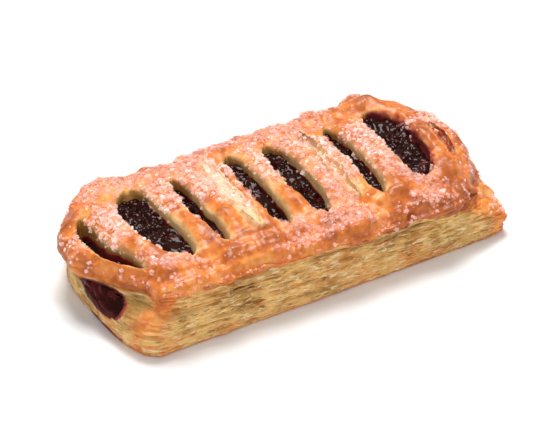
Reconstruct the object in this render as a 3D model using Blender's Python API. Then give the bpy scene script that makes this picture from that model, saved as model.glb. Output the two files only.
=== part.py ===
"""A lattice-cut fruit strudel: one rectangular puff-pastry slice with slits across its top.

Two solids: "pastry", the baked case with its slits, end openings, flaky layers and coarse
sugar crystals, and "filling", the berry filling that runs through it from end to end.
Units are metres, +Z is up, and the origin is the middle of the base. The slice lies along X,
its front faces -Y and its left end, at -X, shows the filling best.
"""
import math

import bmesh
import bpy
import numpy as np
from mathutils import Euler, Matrix, Vector

MM = 0.001

# ---- driving dimensions, in millimetres ----
CRUST_LEFT = 68.7        # from the middle to the left end of the top crust
CRUST_RIGHT = 67.8       # and to its right end
CRUST_BOW = 14.0         # how far the ends of the crust bow out past its corners
BOW_PEAK = 0.13          # the left end bows out most a little behind the middle
BACK_BEND = 2.2          # how late the ends bend round towards the crust's corners
RIGHT_BACK_BEND = 2.6
CRUST_HALF_WIDTH = 31.5
CRUST_CORNER = 3.0       # the corners are drawn in by this much
WAIST = 2.0              # the back edge is drawn in by this much along its middle
WAIST_PINCH = 1.4        # and by this much more at one place
PINCH_PLACE = -0.38
PINCH_SPREAD = 0.25
CORNER_PLACE = 0.8       # where the crust's back right corner stands out and up
CORNER_OUT = 1.2
CORNER_RISE = 2.0
CORNER_SPREAD = 0.13
BASE_LEFT = 65.8         # the same for the foot of the slice, which is squarer
BASE_RIGHT = 68.0
BASE_HALF_WIDTH = 32.6
FOOT_BOW_FRONT = 4.0     # how far the foot's left end bows out past its two corners
FOOT_BOW_BACK = 11.0
FOOT_BOW_RIGHT = 0.8
FOOT_CORNER_LEFT = 3.2   # the foot's corners are drawn in by this much
FOOT_CORNER_RIGHT = 2.2
FOOT_HEIGHT = 7.5        # the side keeps the foot's outline up to this height
FOOT_BLEND = 7.5         # and takes on the crust's outline over this height
BELLY = 0.5              # the side bulges by this much at half its height
BASE_SKEW = 1.6          # the foot stands out further at the front left than at the front right
RIM_HEIGHT = 19.2        # height of the crust's edge above the base
RIM_TILT = 1.3           # the left end stands this much higher, the right end lower
RIM_DIP = 4.4            # the crust's edge dips in the middle of each end
CROWN_HEIGHT = 26.6      # highest line of the top, without sugar
CROWN_LUMP = 0.55        # height and width of the broad lumps on the top
CROWN_LUMP_SIZE = 9.0
RUNG_ROUND = 3.4         # how far a rung's rounded sides fall away
BOX_MIDDLE = (-0.07, -0.89)  # middle of the whole slice, which becomes the origin
GAP = 0.3                # clearance between the pastry and the filling
LIP_BEND = 3.2           # a slit keeps its width along more of its length when this is more
LIP_POWER = 0.5          # and its ends are blunter when this is less
SLIT_TIP = 0.1           # width of a slit's pointed end, as a share of its full width
FLOOR_SHARE = 0.82       # width of a slit's floor, as a share of its width at the lips
SHALLOW_ROUND = 0.45     # a slit that has closed is rounded by this share of RUNG_ROUND
FIRST_RUNG = 3.2         # from the first and the last slit to the middle of the rung beyond
LAST_RUNG = 4.2
TIP_FADE = 0.3           # the crust is plain again this share of the slit's reach past its end
FLOOR_SINK = 1.6         # how far a slit cuts into the filling's space

FILLING_LEFT = 65.8      # how far the filling reaches before its ends round off
FILLING_RIGHT = 66.8
FILLING_MID_Z = 10.2     # height of the filling's widest line
FILLING_HALF_WIDTH = 25.0
FILLING_UP = 10.6
FILLING_DOWN = 6.6
BLUNT_MIDDLE = 4.2       # power of the section's outline: 2 is an oval, more is squarer
BLUNT_END = 2.0
TAPER_END = 66.0         # the section narrows towards this place in X
TAPER_POWER = 10
MOUND = 1.2              # the filling rises by this much under the widest slit
MOUND_PLACE = 47.0
MOUND_SPREAD = 8.0
FRUIT_LUMP = 0.45        # height of the uneven top of the filling
END_HALF_WIDTH = 10.5    # the filling where it comes out at an end
END_UP = 4.2
END_DOWN = 3.9
END_SHIFT_LEFT = -9.0    # the left opening sits towards the front
END_SHIFT_RIGHT = 4.0    # and the right one towards the back
END_DROP = 0.9           # an opening's middle lies this much below the filling's middle
BULGE = 2.2              # how far the filling swells out of an end
BOW_FROM_Z = 5.0         # the left end bows from this height, fully so this much higher
BOW_OVER_Z = 12.0
TUNNEL_REACH = 76.0      # the filling's space is cut right through, this far to each side
RING_POINTS = 26         # points round a section of the filling, and sections along it
STATIONS = 30
CAP_ANGLES = (0.5, 0.95, 1.3)

CRYSTAL_COUNT = 132
CRYSTAL_SIZE = (1.15, 2.0)
CRYSTAL_SPACING = 2.3
CRYSTAL_SHAPE = (1.0, 0.85, 0.8)
CRYSTAL_SINK = 0.12      # a crystal's middle lies above the crust by this share of its size
STEEPEST = 0.45          # no crystal where the crust's normal rises less than this
SEED = 7

# Slits from left to right: middle in X, half-widths to the left and right, front and back
# ends in Y, and depth in mm below the crust, where None is open down to the filling.
SLITS = (
    (-61.7, 2.0, 2.1, -17.5, 14.0, None),
    (-42.6, 7.2, 5.4, -21.0, 19.0, None),
    (-27.8, 2.5, 2.7, -20.5, 16.5, None),
    (-15.8, 2.0, 2.1, -20.5, 17.8, 2.6),
    (-6.2, 3.6, 3.5, -21.7, 19.4, None),
    (7.1, 3.8, 4.3, -22.4, 18.4, None),
    (18.9, 1.5, 1.7, -21.0, 17.2, 4.6),
    (28.2, 2.5, 2.7, -22.0, 17.2, None),
    (45.2, 4.7, 6.3, -20.0, 18.4, None),
    (59.0, 1.2, 1.2, -14.0, 3.0, 4.2),
)

# Places along a half slit zone, from the slit's middle line to the middle of the next rung.
FLOOR_EDGE = 0.25
LIP = 0.5
HALF_ZONE = (0.0, FLOOR_EDGE, LIP, 0.74, 1.0)
# Rows across the top, as fractions of the half-width.
ROWS = (0.0, 0.16, 0.31, 0.44, 0.53, 0.6, 0.66, 0.72, 0.8, 0.89, 0.96, 1.0)
# Rings down the side: height as a fraction of the rim, and how far each stands out.
RINGS = ((0.95, 0.8), (0.87, -1.0), (0.79, 0.35), (0.69, -0.55), (0.58, 0.6),
         (0.45, -0.35), (0.32, 0.7), (0.19, -0.2), (0.07, 0.45), (0.0, -0.5))

LATTICE = np.random.default_rng(SEED).uniform(-1.0, 1.0, (64, 64))


def smooth(x):
    """Smooth step from 0 to 1."""
    x = np.clip(x, 0.0, 1.0)
    return x * x * (3.0 - 2.0 * x)


def lumps(x, y, size, shift=0.0):
    """Smooth seeded unevenness between -1 and 1, with lumps about `size` mm across."""
    u = np.asarray(x) / size + 31.7 + shift
    v = np.asarray(y) / size + 17.3 + shift * 1.7
    i = np.floor(u).astype(int)
    j = np.floor(v).astype(int)
    fu = smooth(u - i)
    fv = smooth(v - j)
    near = LATTICE[i % 64, j % 64] * (1 - fu) + LATTICE[(i + 1) % 64, j % 64] * fu
    far = LATTICE[i % 64, (j + 1) % 64] * (1 - fu) + LATTICE[(i + 1) % 64, (j + 1) % 64] * fu
    return near * (1 - fv) + far * fv


# ---- plan: s runs along the slice and t across it, both from -1 to 1 ----
def back_corner(s):
    """Share of the swell at the crust's back right corner."""
    return np.exp(-((s - CORNER_PLACE) / CORNER_SPREAD) ** 2)


def crust_plan(s, t):
    """X and Y of the crust for a place (s, t)."""
    front = smooth((BOW_PEAK - t) / (1 + BOW_PEAK))
    back = np.maximum((t - BOW_PEAK) / (1 - BOW_PEAK), 0.0) ** BACK_BEND
    right = np.abs(t) ** np.where(t > 0, RIGHT_BACK_BEND, BACK_BEND)
    drop = CRUST_BOW * np.where(s < 0, np.where(t < BOW_PEAK, front, back), right)
    reach = np.where(s < 0, CRUST_LEFT, CRUST_RIGHT)
    x = s * reach - np.sign(s) * drop * np.abs(s) ** 2.5
    waist = WAIST * (1 - s ** 4) + WAIST_PINCH * np.exp(-((s - PINCH_PLACE) / PINCH_SPREAD) ** 2)
    waist = waist - CORNER_OUT * back_corner(s)
    return x, t * (CRUST_HALF_WIDTH - CRUST_CORNER * np.abs(s) ** 12 - np.where(t > 0, waist, 0.0))


def base_plan(s, t):
    """X and Y of the foot of the slice for a place (s, t) on its edge."""
    left = np.where(t < 0, FOOT_BOW_FRONT * t ** 4, FOOT_BOW_BACK * np.abs(t) ** 2.5)
    drop = np.where(s < 0, left, FOOT_BOW_RIGHT * np.abs(t) ** 9)
    reach = np.where(s < 0, BASE_LEFT, BASE_RIGHT)
    x = s * reach - np.sign(s) * drop * np.abs(s) ** 6
    skew = np.where(t < 0, BASE_SKEW * s, WAIST * 0.7 * (1 - s ** 4))
    corner = np.where(s < 0, FOOT_CORNER_LEFT, FOOT_CORNER_RIGHT) * np.abs(s) ** 16
    return x, t * (BASE_HALF_WIDTH - corner - skew)


def rim_height(s, t):
    """Height of the crust's edge."""
    dip = RIM_DIP * np.abs(s) ** 8 * (1 - t ** 4)
    return RIM_HEIGHT - RIM_TILT * s - dip + CORNER_RISE * back_corner(s) * smooth(t)


def crust_height(s, t):
    """Height of the top crust before the slits are cut."""
    x, y = crust_plan(s, t)
    along = np.maximum(1 - np.abs(s) ** 5, 0.0) ** 0.5
    across = np.maximum(1 - np.abs(t) ** 2.6, 0.0) ** 0.55
    rim = rim_height(s, t)
    dome = (CROWN_HEIGHT - rim) * along * across
    return rim + dome + CROWN_LUMP * lumps(x, y, CROWN_LUMP_SIZE) * smooth(along * across * 1.6)


# ---- filling: a flat oval section that narrows towards the ends ----
def filling_section(x):
    """Half-width, rise, depth, Y and Z of the middle, and bluntness at a place x."""
    taper = np.clip(np.abs(x) / TAPER_END, 0.0, 1.0) ** TAPER_POWER
    half = FILLING_HALF_WIDTH + (END_HALF_WIDTH - FILLING_HALF_WIDTH) * taper
    mound = MOUND * np.exp(-((x - MOUND_PLACE) / MOUND_SPREAD) ** 2)
    up = FILLING_UP + (END_UP - FILLING_UP) * taper + mound
    down = FILLING_DOWN + (END_DOWN - FILLING_DOWN) * taper
    shift = np.where(x < 0, END_SHIFT_LEFT, END_SHIFT_RIGHT) * taper
    blunt = BLUNT_MIDDLE + (BLUNT_END - BLUNT_MIDDLE) * taper
    return half, up, down, shift, FILLING_MID_Z - END_DROP * taper, blunt


def end_bow(x, y, z):
    """How far the filling's left part is drawn in, as the crust bows in there."""
    s = np.clip(-x / CRUST_LEFT, 0.0, 1.0)
    bow = smooth((BOW_PEAK - y / CRUST_HALF_WIDTH) / (1 + BOW_PEAK))
    return CRUST_BOW * bow * s ** 2.5 * smooth((z - BOW_FROM_Z) / BOW_OVER_Z)


def filling_top(x, y):
    """Height of the filling's upper surface."""
    half, up, _, mid_y, mid_z, blunt = filling_section(x)
    side = np.clip(np.abs(y - mid_y) / half, 0.0, 1.0)
    return mid_z + up * np.sqrt(1 - side ** blunt)


def filling_ring(x, grow, scale):
    """One cross-section ring of the filling, grown by `grow` mm or scaled down for an end cap."""
    half, up, down, mid_y, mid_z, blunt = (float(v) for v in filling_section(x))
    ring = []
    for k in range(RING_POINTS):
        angle = 2 * math.pi * k / RING_POINTS
        cosine, sine = math.cos(angle), math.sin(angle)
        y = math.copysign(abs(cosine) ** (2 / blunt), cosine)
        rise = (up if sine > 0 else down) + grow
        ring.append((y * (half + grow) * scale + mid_y, sine * rise * scale + mid_z))
    return ring


def mesh_object(name, bm, materials):
    """An object from a bmesh, in metres."""
    bmesh.ops.translate(bm, vec=(-BOX_MIDDLE[0], -BOX_MIDDLE[1], 0), verts=bm.verts)
    bmesh.ops.scale(bm, vec=(MM, MM, MM), verts=bm.verts)
    bmesh.ops.recalc_face_normals(bm, faces=bm.faces)
    mesh = bpy.data.meshes.new(name)
    bm.to_mesh(mesh)
    bm.free()
    for material in materials:
        mesh.materials.append(material)
    obj = bpy.data.objects.new(name, mesh)
    bpy.context.scene.collection.objects.link(obj)
    return obj


def bridge(bm, first, second):
    """Faces between two closed rings of vertices of the same length."""
    for k in range(len(first)):
        nxt = (k + 1) % len(first)
        bm.faces.new((first[k], first[nxt], second[nxt], second[k]))


# ---- top crust ----
def slit_zones():
    """Each slit's middle and the middles of the rungs beside it, as fractions s."""
    lips = []
    for x, left, right, *_ in SLITS:
        reach = CRUST_LEFT if x < 0 else CRUST_RIGHT
        lips.append(((x - left) / reach, x / reach, (x + right) / reach))
    zones = []
    for k, (left, middle, right) in enumerate(lips):
        before = (lips[k - 1][2] + left) / 2 if k else left - FIRST_RUNG / CRUST_LEFT
        after = (right + lips[k + 1][0]) / 2 if k + 1 < len(lips) else right + LAST_RUNG / CRUST_LEFT
        zones.append((before, middle, after))
    return zones


ZONES = slit_zones()


def slit_point(k, side, place, t):
    """Position in mm of a point of slit k: side -1 or 1, place 0 (middle) to 1 (next rung)."""
    _, left, right, front, back, depth = SLITS[k]
    before, middle, after = ZONES[k]
    zone = (middle - before) if side < 0 else (after - middle)
    half = (left if side < 0 else right) / CRUST_LEFT
    mid_t = (front + back) / 2 / CRUST_HALF_WIDTH
    reach_t = (back - front) / 2 / CRUST_HALF_WIDTH
    past = np.abs(t - mid_t) / reach_t
    along = np.clip(past, 0.0, 1.0)
    lip = half * np.maximum((1 - along ** LIP_BEND) ** LIP_POWER, SLIT_TIP)
    opened = (1 - along ** 6) ** 0.6
    # the open shape: flat floor, steep wall, then the rung's rounded side
    arc = (place - LIP) / (1 - LIP) * math.pi / 2
    floor_x = FLOOR_SHARE * lip * place / FLOOR_EDGE
    wall_x = lip * (FLOOR_SHARE + (1 - FLOOR_SHARE) * (place - FLOOR_EDGE) / (LIP - FLOOR_EDGE))
    rung_x = zone - (zone - lip) * np.cos(arc)
    open_x = np.where(place <= FLOOR_EDGE, floor_x, np.where(place <= LIP, wall_x, rung_x))
    offset = open_x + (place * zone - open_x) * smooth((past - 1) / TIP_FADE)
    s = middle + side * offset
    x, y = crust_plan(s, t)
    top = crust_height(s, t)
    shallow = depth is not None
    rounding = RUNG_ROUND * (SHALLOW_ROUND if shallow else 1.0) * (1 - along ** 4)
    fall = rounding * (1 - np.sin(np.maximum(arc, 0.0)))
    floor = top - depth if shallow else np.minimum(filling_top(x, y) - FLOOR_SINK, top - rounding)
    wall = np.clip((place - FLOOR_EDGE) / (LIP - FLOOR_EDGE), 0.0, 1.0)
    lip_z = top - rounding
    wall_z = lip_z + (floor - lip_z) * (1 - wall) * opened
    return x, y, np.where(place < LIP, wall_z, top - fall)


def top_columns():
    """The columns of the top from left to right: plain ones by s, others by slit and place."""
    columns = [("plain", -1.0), ("plain", -0.993), ("plain", -0.978)]
    for k in range(len(SLITS)):
        for place in reversed(HALF_ZONE[1:]):
            if place < 1.0 or k == 0:
                columns.append(("slit", k, -1, place))
        columns.extend(("slit", k, 1, place) for place in HALF_ZONE)
    last = ZONES[-1][2]
    columns.extend(("plain", last + (1 - last) * part) for part in (0.45, 0.8, 0.95, 1.0))
    return columns


def column_point(column, t):
    """Position in mm of the top at a column and a fraction t across."""
    if column[0] == "plain":
        x, y = crust_plan(column[1], t)
        return x, y, crust_height(column[1], t)
    return slit_point(*column[1:], t)


def column_s(column, t):
    """The fraction s at which a column meets the edge of the crust."""
    if column[0] == "plain":
        return column[1]
    _, k, side, place = column
    before, middle, after = ZONES[k]
    return middle + side * place * ((middle - before) if side < 0 else (after - middle))


def side_point(s, t, part, out):
    """A point of the side at a part of the rim's height, standing out by `out` mm."""
    top_x, top_y = crust_plan(s, t)
    low_x, low_y = base_plan(s, t)
    height = rim_height(s, t) * part
    blend = smooth((height - FOOT_HEIGHT) / FOOT_BLEND)
    x = low_x + (top_x - low_x) * blend
    y = low_y + (top_y - low_y) * blend
    end = smooth((abs(s) - 0.9) / 0.1) * (1 - abs(t) ** 6)
    away = Vector((end * math.copysign(1, s), (1 - end) * t, 0)).normalized()
    run = x + y * 1.3
    uneven = 0.75 + 0.75 * float(lumps(run, height * 6, 11.0, 3.0))
    belly = BELLY * math.sin(math.pi * part)
    away *= out * (uneven if part > 0 else 1) * (1 - 0.5 * end) + belly
    return x + away.x, y + away.y, height


def build_case():
    """The closed outer form of the pastry with its slits, before the filling's space is cut."""
    columns = top_columns()
    rows = [-t for t in reversed(ROWS[1:])] + list(ROWS)
    bm = bmesh.new()
    grid = [[bm.verts.new([float(v) for v in column_point(c, t)]) for t in rows] for c in columns]
    for left, right in zip(grid, grid[1:]):
        for k in range(len(rows) - 1):
            bm.faces.new((left[k], right[k], right[k + 1], left[k + 1]))
    # the edge of the top, anticlockwise from the front left corner
    last_column, last_row = len(columns) - 1, len(rows) - 1
    edge = [(k, 0) for k in range(last_column)]
    edge += [(last_column, k) for k in range(last_row)]
    edge += [(k, last_row) for k in range(last_column, 0, -1)]
    edge += [(0, k) for k in range(last_row, 0, -1)]
    rim = [grid[c][r] for c, r in edge]
    places = [(column_s(columns[c], rows[r]), rows[r]) for c, r in edge][::2]
    rings = []
    for part, out in RINGS:
        rings.append([bm.verts.new(side_point(s, t, part, out)) for s, t in places])
    count = len(places)
    for k in range(count):
        nxt = (k + 1) % count
        a, b, c = rim[2 * k], rim[2 * k + 1], rim[(2 * k + 2) % len(rim)]
        low, low_next = rings[0][k], rings[0][nxt]
        bm.faces.new((a, low, b))
        bm.faces.new((b, low, low_next))
        bm.faces.new((b, low_next, c))
    for upper, lower in zip(rings, rings[1:]):
        bridge(bm, upper, lower)
    bm.faces.new(rings[-1])
    return bm


def build_filling(name, grow, materials, open_ended):
    """The filling, or with grow > 0 the space that it leaves in the pastry."""
    stations = [(float(x), 1.0) for x in np.linspace(-FILLING_LEFT, FILLING_RIGHT, STATIONS)]
    if open_ended:
        stations = [(-TUNNEL_REACH, 1.0)] + stations + [(TUNNEL_REACH, 1.0)]
    else:
        left, right = stations[0][0], stations[-1][0]
        caps = [(math.cos(a), math.sin(a)) for a in CAP_ANGLES]
        stations = ([(left - BULGE * reach, scale) for scale, reach in reversed(caps)] + stations
                    + [(right + BULGE * reach, scale) for scale, reach in caps])
    bm = bmesh.new()
    rings = []
    for x, scale in stations:
        ring = []
        for y, z in filling_ring(x, grow, scale):
            bump = 0.0
            if not open_ended and scale == 1.0:
                bump = FRUIT_LUMP * (float(lumps(x, y, 3.6, 5.0)) - 1.0) * smooth((z - 12.0) / 3.0)
            drawn_in = float(end_bow(x, y, z))
            ring.append(bm.verts.new((x + drawn_in, y, z + bump)))
        rings.append(ring)
    for first, second in zip(rings, rings[1:]):
        bridge(bm, first, second)
    bm.faces.new(rings[0])
    bm.faces.new(rings[-1])
    return mesh_object(name, bm, materials)


# ---- sugar ----
def near_slit(x, y, margin):
    """True where a point of the top is over a slit or closer to its lip than the margin."""
    for middle, left, right, front, back, _ in SLITS:
        along = abs(y - (front + back) / 2) / ((back - front) / 2 + margin)
        if along < 1:
            reach = CRUST_LEFT if middle < 0 else CRUST_RIGHT
            bowed = float(crust_plan(middle / reach, y / CRUST_HALF_WIDTH)[0])
            narrow = (1 - along ** LIP_BEND) ** LIP_POWER
            if bowed - left * narrow - margin < x < bowed + right * narrow + margin:
                return True
    return False


def crystal_places():
    """Seeded places for the sugar: on the rungs and rim, thinner on the bare glazed spots."""
    rng = np.random.default_rng(SEED + 1)
    places = []
    while len(places) < CRYSTAL_COUNT:
        s, t = rng.uniform(-0.97, 0.97), rng.uniform(-0.97, 0.97)
        x, y = (float(v) for v in crust_plan(s, t))
        thin = float(lumps(x, y, 12.0, 9.0)) < -0.25
        if near_slit(x, y, 1.7) or (thin and rng.random() < 0.75):
            continue
        if any((x - a) ** 2 + (y - b) ** 2 < CRYSTAL_SPACING ** 2 for a, b, *_ in places):
            continue
        places.append((x, y, rng.uniform(0, 1), rng.uniform(-0.5, 0.5, 3)))
    places.sort(key=lambda place: -place[2])
    return places


def add_sugar(case, material):
    """Fuse cube-shaped sugar crystals, half sunk in the crust, to the pastry."""
    crystals = bpy.data.collections.new("sugar")
    bpy.context.scene.collection.children.link(crystals)
    down = Vector((0, 0, -1))
    for number, (x, y, share, turn) in enumerate(crystal_places()):
        above = Vector((x - BOX_MIDDLE[0], y - BOX_MIDDLE[1], 60)) * MM
        found, point, normal, _ = case.ray_cast(above, down)
        if not found or normal.z < STEEPEST:
            continue
        low, high = CRYSTAL_SIZE
        size = (low + (high - low) * share ** 2) * MM
        bm = bmesh.new()
        bmesh.ops.create_cube(bm, size=size)
        bmesh.ops.scale(bm, vec=CRYSTAL_SHAPE, verts=bm.verts)
        tilt = normal.to_track_quat("Z", "Y").to_matrix().to_4x4()
        spin = Euler((turn[0], turn[1], turn[2] * 6.0)).to_matrix().to_4x4()
        bm.transform(Matrix.Translation(point + normal * size * CRYSTAL_SINK) @ tilt @ spin)
        mesh = bpy.data.meshes.new("crystal")
        bm.to_mesh(mesh)
        bm.free()
        mesh.materials.append(material)
        crystals.objects.link(bpy.data.objects.new("crystal_%03d" % number, mesh))
    join = case.modifiers.new("sugar", "BOOLEAN")
    join.operation = "UNION"
    join.operand_type = "COLLECTION"
    join.collection = crystals
    join.solver = "MANIFOLD"
    apply_modifiers(case)
    for crystal in list(crystals.objects):
        bpy.data.objects.remove(crystal)
    bpy.data.collections.remove(crystals)


def apply_modifiers(obj):
    """Replace an object's mesh by its evaluated one and drop the modifiers."""
    graph = bpy.context.evaluated_depsgraph_get()
    mesh = bpy.data.meshes.new_from_object(obj.evaluated_get(graph))
    obj.modifiers.clear()
    obj.data = mesh


def tidy(obj):
    """Merge points closer than a hundredth of a millimetre and drop flat scraps."""
    bm = bmesh.new()
    bm.from_mesh(obj.data)
    bmesh.ops.remove_doubles(bm, verts=bm.verts, dist=0.01 * MM)
    bmesh.ops.dissolve_degenerate(bm, edges=bm.edges, dist=0.005 * MM)
    bmesh.ops.triangulate(bm, faces=bm.faces)
    bm.to_mesh(obj.data)
    bm.free()


def food_material(name, colour, roughness):
    """A plain material with the finish of one food."""
    material = bpy.data.materials.new(name)
    material.use_nodes = True
    shader = material.node_tree.nodes["Principled BSDF"]
    shader.inputs["Base Color"].default_value = (*colour, 1.0)
    shader.inputs["Roughness"].default_value = roughness
    shader.inputs["Metallic"].default_value = 0.0
    return material


def main():
    for obj in list(bpy.data.objects):
        bpy.data.objects.remove(obj)
    crust = food_material("golden_pastry", (0.58, 0.27, 0.1), 0.45)
    berry = food_material("berry_filling", (0.05, 0.008, 0.014), 0.18)
    pastry = mesh_object("pastry", build_case(), [crust])
    space = build_filling("filling_space", GAP, [crust], True)
    space.hide_render = True
    space.display_type = "WIRE"
    cut = pastry.modifiers.new("filling_space", "BOOLEAN")
    cut.operation = "DIFFERENCE"
    cut.object = space
    cut.solver = "EXACT"
    apply_modifiers(pastry)
    bpy.data.objects.remove(space)
    bpy.context.view_layer.update()
    add_sugar(pastry, crust)
    tidy(pastry)
    build_filling("filling", 0.0, [berry], False)


main()
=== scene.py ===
"""Lattice strudel: the finished look of one fruit strudel slice, laid out as an add-on.

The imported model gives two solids, the pastry and the filling. This script bakes the fine pastry
with its blistered crust, slits and flaky sides, spreads the glossy berry filling, sprinkles
coarse sugar, lifts loose flakes from the sides, and sets a pale floor, soft light and a camera.
Forms are worked out in millimetres on the same outline as the solids and placed in metres.
"""
import math
from types import SimpleNamespace

import bpy
import numpy as np
from bpy.props import FloatProperty, FloatVectorProperty, IntProperty, PointerProperty
from bpy.types import Operator, Panel, PropertyGroup
from mathutils import Euler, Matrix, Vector


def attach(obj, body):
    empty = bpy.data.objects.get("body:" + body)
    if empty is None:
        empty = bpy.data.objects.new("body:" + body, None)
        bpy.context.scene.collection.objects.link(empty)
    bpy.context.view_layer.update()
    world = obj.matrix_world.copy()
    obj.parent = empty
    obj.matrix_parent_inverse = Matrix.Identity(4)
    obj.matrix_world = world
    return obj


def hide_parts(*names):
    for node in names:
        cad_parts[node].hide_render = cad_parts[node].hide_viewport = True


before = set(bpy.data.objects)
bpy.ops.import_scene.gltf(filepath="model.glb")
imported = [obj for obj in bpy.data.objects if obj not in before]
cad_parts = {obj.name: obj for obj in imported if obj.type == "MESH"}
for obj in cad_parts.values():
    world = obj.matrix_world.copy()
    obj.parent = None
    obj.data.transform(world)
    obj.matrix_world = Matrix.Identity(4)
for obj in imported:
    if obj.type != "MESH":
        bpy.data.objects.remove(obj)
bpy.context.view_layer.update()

bl_info = {
    "name": "Lattice strudel",
    "version": (1, 0, 0),
    "blender": (4, 5, 0),
    "location": "3D View > Sidebar > Strudel",
    "description": "Bakes a sugared lattice strudel slice with a berry filling",
    "category": "Add Mesh",
}

MM = 0.001

# ---- the outline that the solids follow, in millimetres ----
CRUST_LEFT = 68.7
CRUST_RIGHT = 67.8
CRUST_BOW = 14.0
BOW_PEAK = 0.13
BACK_BEND = 2.2
RIGHT_BACK_BEND = 2.6
CRUST_HALF_WIDTH = 31.5
CRUST_CORNER = 3.0
WAIST = 2.0
WAIST_PINCH = 1.4
PINCH_PLACE = -0.38
PINCH_SPREAD = 0.25
CORNER_PLACE = 0.8
CORNER_OUT = 1.2
CORNER_RISE = 2.0
CORNER_SPREAD = 0.13
BASE_LEFT = 65.8
BASE_RIGHT = 68.0
BASE_HALF_WIDTH = 32.6
BASE_SKEW = 1.6
# How far the foot's left end bows out past its two corners, and its right end past both.
FOOT_BOW_FRONT = 4.0
FOOT_BOW_BACK = 11.0
FOOT_BOW_RIGHT = 0.8
FOOT_CORNER_LEFT = 3.2
FOOT_CORNER_RIGHT = 2.2
# The side keeps the foot's outline up to this height, then takes on the crust's over as much.
FOOT_HEIGHT = 7.5
FOOT_BLEND = 7.5
BELLY = 0.5
RIM_HEIGHT = 19.2
RIM_TILT = 1.3
RIM_DIP = 4.4
CROWN_HEIGHT = 26.6
CROWN_LUMP = 0.55
CROWN_LUMP_SIZE = 9.0
RUNG_ROUND = 3.4
FIRST_RUNG = 3.2
LAST_RUNG = 4.2
# Middle of the solids' box in X and Y, which the frame puts at the origin.
BOX_MIDDLE = (-0.07, -0.89)

FILLING_MID_Z = 10.2
FILLING_HALF_WIDTH = 25.0
FILLING_UP = 10.6
FILLING_DOWN = 6.6
FILLING_LEFT = 65.8
FILLING_RIGHT = 66.8
# Power of the section's outline: 2 is an oval and more is squarer.
BLUNT_MIDDLE = 4.2
BLUNT_END = 2.0
TAPER_END = 66.0
TAPER_POWER = 10
END_HALF_WIDTH = 10.5
END_UP = 4.2
END_DOWN = 3.9
END_DROP = 0.9
END_SHIFT_LEFT = -9.0
END_SHIFT_RIGHT = 4.0
MOUND = 1.2
MOUND_PLACE = 47.0
MOUND_SPREAD = 8.0
BULGE = 2.2
BOW_FROM_Z = 5.0
BOW_OVER_Z = 12.0
# Points of one section of the visible filling: over its top and along its underside.
FILLING_ABOVE = 136
FILLING_BELOW = 40
# The filling's visible top lies about this much above the solid's, and more at the back.
JAM_RISE = 0.7

SEED = 7
# Slits from left to right: middle in X, half-widths to the left and right, front and back
# ends in Y, depth below the crust (None is open down to the filling), and how far above the
# filling the fruit has stained the dough.
SLITS = (
    (-61.7, 2.0, 2.1, -17.5, 14.0, None, 1.6),
    (-42.6, 7.2, 5.4, -21.0, 19.0, None, 0.9),
    (-27.8, 2.5, 2.7, -20.5, 16.5, None, 1.0),
    (-15.8, 2.0, 2.1, -20.5, 17.8, 2.6, 0.0),
    (-6.2, 3.6, 3.5, -21.7, 19.4, None, 0.9),
    (7.1, 3.8, 4.3, -22.4, 18.4, None, 0.9),
    (18.9, 1.5, 1.7, -21.0, 17.2, 4.6, 0.0),
    (28.2, 2.5, 2.7, -22.0, 17.2, None, 1.2),
    (45.2, 4.7, 6.3, -20.0, 18.4, None, 2.4),
    (59.0, 1.2, 1.2, -14.0, 3.0, 4.2, 5.5),
)
# A slit's columns run from its middle at place 0 over its floor to FLOOR_EDGE, up its wall to
# LIP, and over the rung to 1. SLIT_TIP and FLOOR_SHARE are shares of its width at the lips.
FLOOR_EDGE = 0.25
LIP = 0.5
LIP_BEND = 3.2
LIP_POWER = 0.5
SLIT_TIP = 0.1
FLOOR_SHARE = 0.82
TIP_FADE = 0.3
FLOOR_SINK = 1.6
# Slits that have closed are rounded less, and swell up from their floor by this much.
SHALLOW_ROUND = 0.45
SEAM_RISE = 2.2
STAINED_SEAM_RISE = 2.6
# Closed slits by number: how much damp dough and painted shade they carry, how creamy the dough in
# them is, and its fruit stain.
SEAMS = {3: (0.0, 1.0, 0.0), 6: (0.9, 0.15, 0.0), 9: (0.1, 0.3, 0.45)}
CREAMY_SEAMS = (3, 6)
# A stain above STRONG_STAIN climbs STAIN_CLIMB times as far on the slit's right.
STRONG_STAIN = 2.0
STAIN_CLIMB = 2.1
# Juice that shows on the crust's right end: place, reach and strength.
RED_SPOT = (0.957, -0.13)
RED_REACH = (0.022, 0.2)
RED_SHARE = 0.8
PLAIN_BAKE = 0.5
GRAIN_SIZE = 1.35

# Down the side: height as a fraction of the rim, and how far the big layers stand out there.
SIDE_PARTS = (0.0, 0.07, 0.19, 0.32, 0.45, 0.58, 0.69, 0.79, 0.87, 0.95, 1.0)
SIDE_OUTS = (-0.5, 0.45, -0.2, 0.7, -0.35, 0.6, -0.55, 0.35, -1.0, 0.8, 0.0)
# Height of the crust's crisp hem as a share of the rim, and depths on the side below it.
HEM_PLACE = 0.875
GAP_DEPTH = 0.9
HOLLOW_DEPTH = 0.9
HOLE_DEPTH = 2.4
# Stands for any distance too large to matter.
FAR_AWAY = 9.0
# What each point of the pastry carries: glazed crust, how baked (with painted light on the crust's
# front lower edge), fruit stain, damp dough with painted shade, thin layers and sugar, from 0 to 1,
# and more where sugar has gathered in a closed slit.
FINISHES = ("crust", "bake", "stain", "damp_shade", "layers", "sugared")

COARSE_COUNT = 132
COARSE_SIZE = (1.15, 2.0)
COARSE_SPACING = 2.3
# Powers above 1 make small crystals more frequent than large ones.
FINE_BIAS = 1.6
CRYSTAL_SHAPE = (1.0, 0.85, 0.8)
CRYSTAL_SINK = 0.14
# Crystals beside the crust's edge and at the front right corner: coarse and fine.
EDGE_COARSE = 150
EDGE_FINE = 600
CUBE_CORNERS = [(x, y, z) for x in (-1, 1) for y in (-1, 1) for z in (-1, 1)]
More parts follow.
